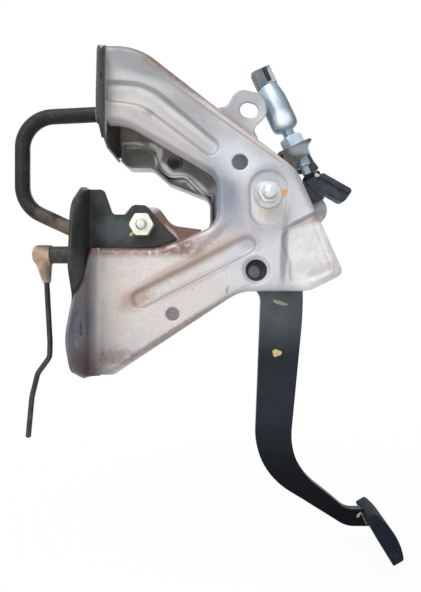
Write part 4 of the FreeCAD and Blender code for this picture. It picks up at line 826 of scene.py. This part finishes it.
class PEDAL_OT_dash_bracket(bpy.types.Operator):
    """Finish the black dash bracket with its bolt, nut, stay hoop and pin"""

    bl_idname = "pedal.dash_bracket"
    bl_label = "Dash bracket"

    def execute(self, context):
        coat(["dash_bracket"], black_paint(
            "dipped_black_sheet", BLACK, "55534c", roughness=0.36, wear=0.5,
            # A painted sheen, blue-grey, on the bracket's face left of the nut
            patches=(((22, -22, 76), (15, 12, 9), "5a666d", 0.55),)))
        coat(["stay_hoop"], black_paint(
            "dipped_black_bar", WARM_BLACK, "6f5f4c", roughness=0.4, wear=0.2, size=10.0, patches=(
                ((-9, -46, 74), (9, 14, 9), "7c6c59", 0.75),
                ((-26, -46, 84), (6, 14, 5), "5f5448", 0.6),
                ((-20, -40, 76), (4, 14, 5), "6f6353", 0.6),
            )))
        coat(["link_pin"], black_paint(
            "oiled_steel_pin", ((0.3, "2a2926"), (0.6, "474540"), (0.8, "5c5348")), "6b5642",
            roughness=0.45, wear=0.5, size=3.0))
        zinc = bright_zinc("yellowed_zinc_nut", CREAM_ZINC, roughness=0.4, metallic=0.5)
        coat(["bracket_nut", "bracket_bolt"], zinc)
        base = centre_of("bracket_nut")
        base.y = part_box("bracket_nut")[0].y
        pitch = context.scene.pedal_sizes.pitch
        mesh = thread_mesh(
            "bracket_thread", base, -ALONG_Y, start=0.0, end=2.6 * MM, radius=4.0 * MM,
            pitch=pitch, proud=0.25 * MM)
        new_piece("bracket_thread", mesh, zinc, "bracket")
        weld = weld_steel()
        hoop_low, hoop_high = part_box("stay_hoop")
        reach = (hoop_high.y - hoop_low.y) / 2
        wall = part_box("dash_bracket")[0].x
        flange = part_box("upper_tie_plate")[0].x
        for name, x, z, radius, seed in (
            ("hoop_weld_low", wall, HOOP_LOW_Z, reach + 0.4 * MM, 6.0),
            ("hoop_weld_high", flange, HOOP_HIGH_Z, reach + 0.2 * MM, 7.0),
            ("pin_weld", wall, centre_of("link_pin").z, 6.7 * MM, 8.0),
        ):
            points = ring_points(Vector((x, HOOP_Y, z)), radius, ALONG_X)
            mesh = weld_mesh(name, points, SMALL_WELD, ALONG_X, seed, closed=True)
            new_piece(name, mesh, weld, "bracket", smooth=60)
        return {"FINISHED"}


class PEDAL_OT_link(bpy.types.Operator):
    """Finish the hanging link: moulded socket and thin rod"""

    bl_idname = "pedal.link"
    bl_label = "Hanging link"

    def execute(self, context):
        coat(["link_rod"], black_paint(
            "blackened_rod", ((0.3, "2b2d2d"), (0.55, "3b3d3f"), (0.8, "4a4e54")), "6a665f",
            roughness=0.42))
        blotches = (
            ((-24, -44, 61), (7, 12, 5), "4a4034", 0.85),
            ((-28, -48, 53), (6, 6, 8), "9d7a55", 0.6),
            ((-24, -48, 40), (5, 8, 7), "7d6c59", 0.8),
        )
        cream = moulded_plastic(
            "moulded_cream_nylon", ((0.3, "a08a72"), (0.55, "bfae98"), (0.8, "d6cabb")),
            roughness=0.45, subsurface=0.1, blotches=blotches)
        mesh = softened("rod_socket", "rod_socket_moulded", voxel=0.55, rounds=6)
        piece = new_piece("rod_socket_moulded", mesh, cream, "link", smooth=80)
        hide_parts("rod_socket")
        coat(["rod_socket"], cream)
        return {"FINISHED"}


class PEDAL_OT_pivot(bpy.types.Operator):
    """Finish the pivot: bolt, nut, washer, sleeve, hub and bushes, with thread and hub welds"""

    bl_idname = "pedal.pivot"
    bl_label = "Pivot"

    def execute(self, context):
        sizes = context.scene.pedal_sizes
        zinc = bright_zinc("bright_zinc_bolt", DOME_ZINC, roughness=0.26, metallic=0.5)
        coat(["pivot_bolt", "pivot_washer", "pivot_sleeve"], zinc)
        coat(["pivot_nut"], bright_zinc("dull_zinc_nut", WHITE_ZINC, roughness=0.34, metallic=0.5))
        coat(["hub_tube"], black_paint("dipped_black_tube", BLACK, "55534c"))
        coat(["bush_near", "bush_far"], moulded_plastic(
            "moulded_white_nylon", ((0.3, "c9c5b8"), (0.8, "e3e0d6")),
            roughness=0.4, subsurface=0.1))
        seat = Vector((PIVOT.x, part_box("pivot_nut")[0].y, PIVOT.z))
        mesh = thread_mesh(
            "pivot_thread", seat, -ALONG_Y, start=0.0, end=8.0 * MM, radius=5.0 * MM,
            pitch=sizes.pitch, proud=0.28 * MM)
        new_piece("pivot_thread", mesh, zinc, "bracket")
        weld = weld_steel()
        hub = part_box("hub_tube")
        radius = (hub[1].x - hub[0].x) / 2
        # The arm and the lever are welded round the hub, one bead on each side
        for name, y, seed in (("hub_weld_near", -4.0, 1.0), ("hub_weld_far", 8.0, 2.0)):
            centre = Vector((PIVOT.x, y * MM, PIVOT.z))
            points = ring_points(centre, radius + 0.3 * MM, ALONG_Y)
            mesh = weld_mesh(name, points, sizes.weld, ALONG_Y, seed, closed=True)
            new_piece(name, mesh, weld, "pedal", smooth=60)
        return {"FINISHED"}


class PEDAL_OT_pedal_arm(bpy.types.Operator):
    """Finish the arm, the lever, the striker with its cushion, and the foot plate with its weld"""

    bl_idname = "pedal.pedal_arm"
    bl_label = "Pedal arm"

    def execute(self, context):
        coat(["pedal_arm"], arm_paint())
        coat(["lever_plate"], bright_zinc(
            "ground_steel_lever", STEEL, roughness=0.45, metallic=0.35))
        paint = black_paint(
            "dipped_black_striker", ((0.3, "2a3036"), (0.55, "363d43"), (0.8, "444b51")), "6a7177",
            roughness=0.42, wear=0.3)
        coat(["striker_arm"], paint)
        mesh = softened("striker_arm", "striker_rounded", voxel=0.5, rounds=8)
        striker = new_piece("striker_rounded", mesh, paint, "pedal", smooth=80)
        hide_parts("striker_arm")
        points = [Vector((229.4, 20.9, -166.4)) * MM, Vector((235.4, 20.9, -178.2)) * MM]
        mesh = weld_mesh("pad_weld", points, SMALL_WELD, -ALONG_Y, seed=9.0)
        new_piece("pad_weld", mesh, weld_steel(), "pedal", smooth=60)
        coat(["stop_cushion"], pad_rubber())
        coat(["pad_plate"], black_paint("dipped_black_plate", BLACK, "4b4a46"))
        return {"FINISHED"}


class PEDAL_OT_pad_rubber(bpy.types.Operator):
    """Mould the rubber pad over the foot plate"""

    bl_idname = "pedal.pad_rubber"
    bl_label = "Pad rubber"

    def execute(self, context):
        rubber = pad_rubber()
        coat(["pad_rubber"], rubber)
        mesh = softened("pad_rubber", "pad_rubber_moulded", voxel=0.6, rounds=5)
        piece = new_piece("pad_rubber_moulded", mesh, rubber, "pedal", smooth=80)
        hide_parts("pad_rubber")
        return {"FINISHED"}


class PEDAL_OT_switch(bpy.types.Operator):
    """Finish the stop lamp switch with its bracket, nuts, threads, connector and terminals"""

    bl_idname = "pedal.switch"
    bl_label = "Stop lamp switch"

    def execute(self, context):
        zinc = bright_zinc(
            "drawn_zinc_can", CAN_ZINC, roughness=0.3, metallic=0.35, cloud=24.0,
            sides=CAN_PAINTED_SHADE_SIDE, patches=CAN_PAINTED_LIGHT)
        coat(["switch_body"], zinc)
        coat(["switch_locknut_upper", "switch_locknut_lower"], bright_zinc(
            "zinc_locknuts", NUT_ZINC, roughness=0.36, metallic=0.35))
        profile = [(r * MM, h * MM) for r, h in CAN_PROFILE]
        mesh = lathe_mesh("switch_can", STRIKE, SWITCH_UP, profile, sides=96)
        can = new_piece("switch_can", mesh, zinc, "bracket")
        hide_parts("switch_body")
        coat(["switch_bracket"], black_paint(
            "browned_sheet", ((0.3, "44413d"), (0.55, "5a5753"), (0.8, "6d6a66")), "9a9a98",
            roughness=0.42, wear=0.5,
            patches=(((174.5, -14, 142.6), (12, 16, 4.8), "959da2", 0.8),)))
        coat(["switch_connector"], moulded_plastic(
            "moulded_grey_plastic", ((0.3, "535c65"), (0.55, "636c75"), (0.8, "757e86")),
            # A paler patch on the right of the plug's face
            roughness=0.42, blotches=(((150.5, -6, 207), (5.5, 12, 14), "babdbf", 0.85),)))
        face = STRIKE + SWITCH_SIDE * LATCH_OFFSET - ALONG_Y * LATCH_FRONT
        points = [face + SWITCH_UP * height * MM for height in (84, 95)]
        mesh = tube_mesh("plug_latch", points, [1.9 * MM, 1.9 * MM], sides=12)
        latch = black_paint("dark_plastic_latch", BLACK, "3a3d40")
        new_piece("plug_latch", mesh, latch, "bracket", smooth=40)
        coat(["switch_plunger"], moulded_plastic(
            "moulded_white_plunger", ((0.3, "a9bfc4"), (0.8, "cfe0e2")),
            roughness=0.35, subsurface=0.1))
        coat(["switch_terminals"], bright_zinc(
            "tinned_brass", ((0.3, "8f8a70"), (0.8, "c9c3a6")), roughness=0.3, metallic=0.9))
        threads = (("switch_thread_low", 8.4, 15.8), ("switch_thread_window", 22.6, 25.4))
        for name, start, end in threads:
            mesh = thread_mesh(
                name, STRIKE, SWITCH_UP, start * MM, end * MM, radius=6.0 * MM, pitch=1.5 * MM,
                proud=0.3 * MM)
            new_piece(name, mesh, zinc, "bracket")
        return {"FINISHED"}


class PEDAL_OT_paint_marks(bpy.types.Operator):
    """Dab the inspection paint marks on the plate, the arm and the striker"""

    bl_idname = "pedal.paint_marks"
    bl_label = "Paint marks"

    def execute(self, context):
        thick = context.scene.pedal_sizes.mark
        colours = context.scene.pedal_colours
        shades = {
            shade: marking_paint(shade + "_marking_paint", getattr(colours, shade))
            for shade in ("orange", "ochre", "cream", "yellow", "pale")
        }
        for name, shade, body, slot, centre, reach, turn in MARKS:
            seed = len(name) * 0.7
            mesh = dab_mesh(name, Vector(centre) * MM, Vector(reach) * MM, turn, thick, seed)
            new_piece(name, mesh, shades[shade], body, smooth=60)
        return {"FINISHED"}


def seen_rays(tree):
    """Mask of the rays that meet plain white: camera, glossy and transmission rays."""
    path = add(tree, "ShaderNodeLightPath").outputs
    share = path["Is Camera Ray"]
    for kind in ("Is Glossy Ray", "Is Transmission Ray"):
        share = add(
            tree, "ShaderNodeMath", {"operation": "MAXIMUM"}, links={0: share, 1: path[kind]},
        ).outputs[0]
    return share


class PEDAL_OT_stage(bpy.types.Operator):
    """Set the floor, the soft studio light and the camera"""

    bl_idname = "pedal.stage"
    bl_label = "Stage"

    def execute(self, context):
        scene = context.scene
        low = CAD_BOX[0]
        bm = bmesh.new()
        bmesh.ops.create_grid(bm, x_segments=8, y_segments=8, size=6.0)
        mesh = bpy.data.meshes.new("floor")
        bm.to_mesh(mesh)
        bm.free()
        floor = bpy.data.objects.new("floor", mesh)
        floor.location = (0.1, 0.0, low[2] - 0.5 * MM)
        scene.collection.objects.link(floor)
        material = bpy.data.materials.new("painted_floor")
        material.use_nodes = True
        tree = material.node_tree
        tree.nodes.clear()
        out = add(tree, "ShaderNodeOutputMaterial")
        matt = add(tree, "ShaderNodeBsdfDiffuse")
        matt.inputs["Color"].default_value = (*scene.pedal_colours.floor, 1.0)
        glow = add(tree, "ShaderNodeEmission", values={"Color": linear("ffffff")})
        place = add(tree, "ShaderNodeTexCoord").outputs["Object"]
        reach = add(tree, "ShaderNodeVectorMath", {"operation": "LENGTH"}, links={0: place})
        # Near the object the floor keeps a faint shadow, and further off it is as white as the room
        far = add(
            tree, "ShaderNodeMapRange",
            values={"From Min": 0.25, "From Max": 0.8, "To Min": 0.94, "To Max": 1.0},
            links={"Value": reach.outputs["Value"]},
        ).outputs[0]
        both = add(
            tree, "ShaderNodeMixShader",
            links={0: times(tree, seen_rays(tree), far), 1: matt.outputs[0], 2: glow.outputs[0]},
        )
        tree.links.new(both.outputs[0], out.inputs["Surface"])
        mesh.materials.append(material)

        world = bpy.data.worlds.new("studio")
        scene.world = world
        world.use_nodes = True
        tree = world.node_tree
        tree.nodes.clear()
        out = add(tree, "ShaderNodeOutputWorld")
        room = add(tree, "ShaderNodeBackground", values={
            "Color": linear("f6f8ff"), "Strength": 0.5})
        white = add(tree, "ShaderNodeBackground", values={"Color": linear("ffffff")})
        both = add(
            tree, "ShaderNodeMixShader",
            links={0: seen_rays(tree), 1: room.outputs[0], 2: white.outputs[0]},
        )
        tree.links.new(both.outputs[0], out.inputs["Surface"])

        aim = Vector((0.1, 0.0, 0.03))
        for name, place, size, power in (
            ("key", (-0.25, -0.75, 1.0), 0.9, 8.5),
            ("fill", (-0.35, -1.05, 0.1), 1.0, 3.4),
            ("back", (0.3, 1.1, 0.7), 0.9, 6.0),
        ):
            lamp = bpy.data.lights.new(name, "AREA")
            lamp.shape = "DISK"
            lamp.size = size
            lamp.energy = power
            obj = bpy.data.objects.new(name, lamp)
            obj.location = place
            obj.rotation_euler = (aim - Vector(place)).to_track_quat("-Z", "Y").to_euler()
            scene.collection.objects.link(obj)

        # Level eye, 0.4 m off the near plate, so that the far plate shrinks behind it
        eye = bpy.data.cameras.new("camera")
        eye.lens = 31.2
        eye.sensor_width = 36.0
        eye.shift_x = -0.0245
        eye.shift_y = -0.0017
        eye.clip_start = 0.01
        camera = bpy.data.objects.new("camera", eye)
        camera.location = (0.110, -0.430, 0.024)
        camera.rotation_euler = (math.radians(90), 0, 0)
        scene.collection.objects.link(camera)
        scene.camera = camera
        scene.view_settings.view_transform = "Standard"
        return {"FINISHED"}


PIECES = (
    PEDAL_OT_side_plates,
    PEDAL_OT_dash_bracket,
    PEDAL_OT_link,
    PEDAL_OT_pivot,
    PEDAL_OT_pedal_arm,
    PEDAL_OT_pad_rubber,
    PEDAL_OT_switch,
    PEDAL_OT_paint_marks,
    PEDAL_OT_stage,
)


class PEDAL_PT_panel(bpy.types.Panel):
    """Sidebar list of the pieces and their sizes"""

    bl_idname = "PEDAL_PT_panel"
    bl_label = "Brake pedal"
    bl_space_type = "VIEW_3D"
    bl_region_type = "UI"
    bl_category = "Pedal"

    def draw(self, context):
        layout = self.layout
        for group in (context.scene.pedal_sizes, context.scene.pedal_colours):
            for name in group.__annotations__:
                layout.prop(group, name)
        for piece in PIECES:
            layout.operator(piece.bl_idname)


CLASSES = (PedalSizes, PedalColours) + PIECES + (PEDAL_PT_panel,)


def register():
    """Register the classes and hang the settings on the scene."""
    for cls in CLASSES:
        bpy.utils.register_class(cls)
    bpy.types.Scene.pedal_sizes = bpy.props.PointerProperty(type=PedalSizes)
    bpy.types.Scene.pedal_colours = bpy.props.PointerProperty(type=PedalColours)


def unregister():
    """Take the settings and the classes out again."""
    del bpy.types.Scene.pedal_colours
    del bpy.types.Scene.pedal_sizes
    for cls in reversed(CLASSES):
        bpy.utils.unregister_class(cls)


def main():
    """Register the classes and make every piece in order."""
    register()
    for piece in PIECES:
        group, action = piece.bl_idname.split(".")
        getattr(getattr(bpy.ops, group), action)()
    bpy.context.view_layer.update()


if __name__ == "__main__":
    main()
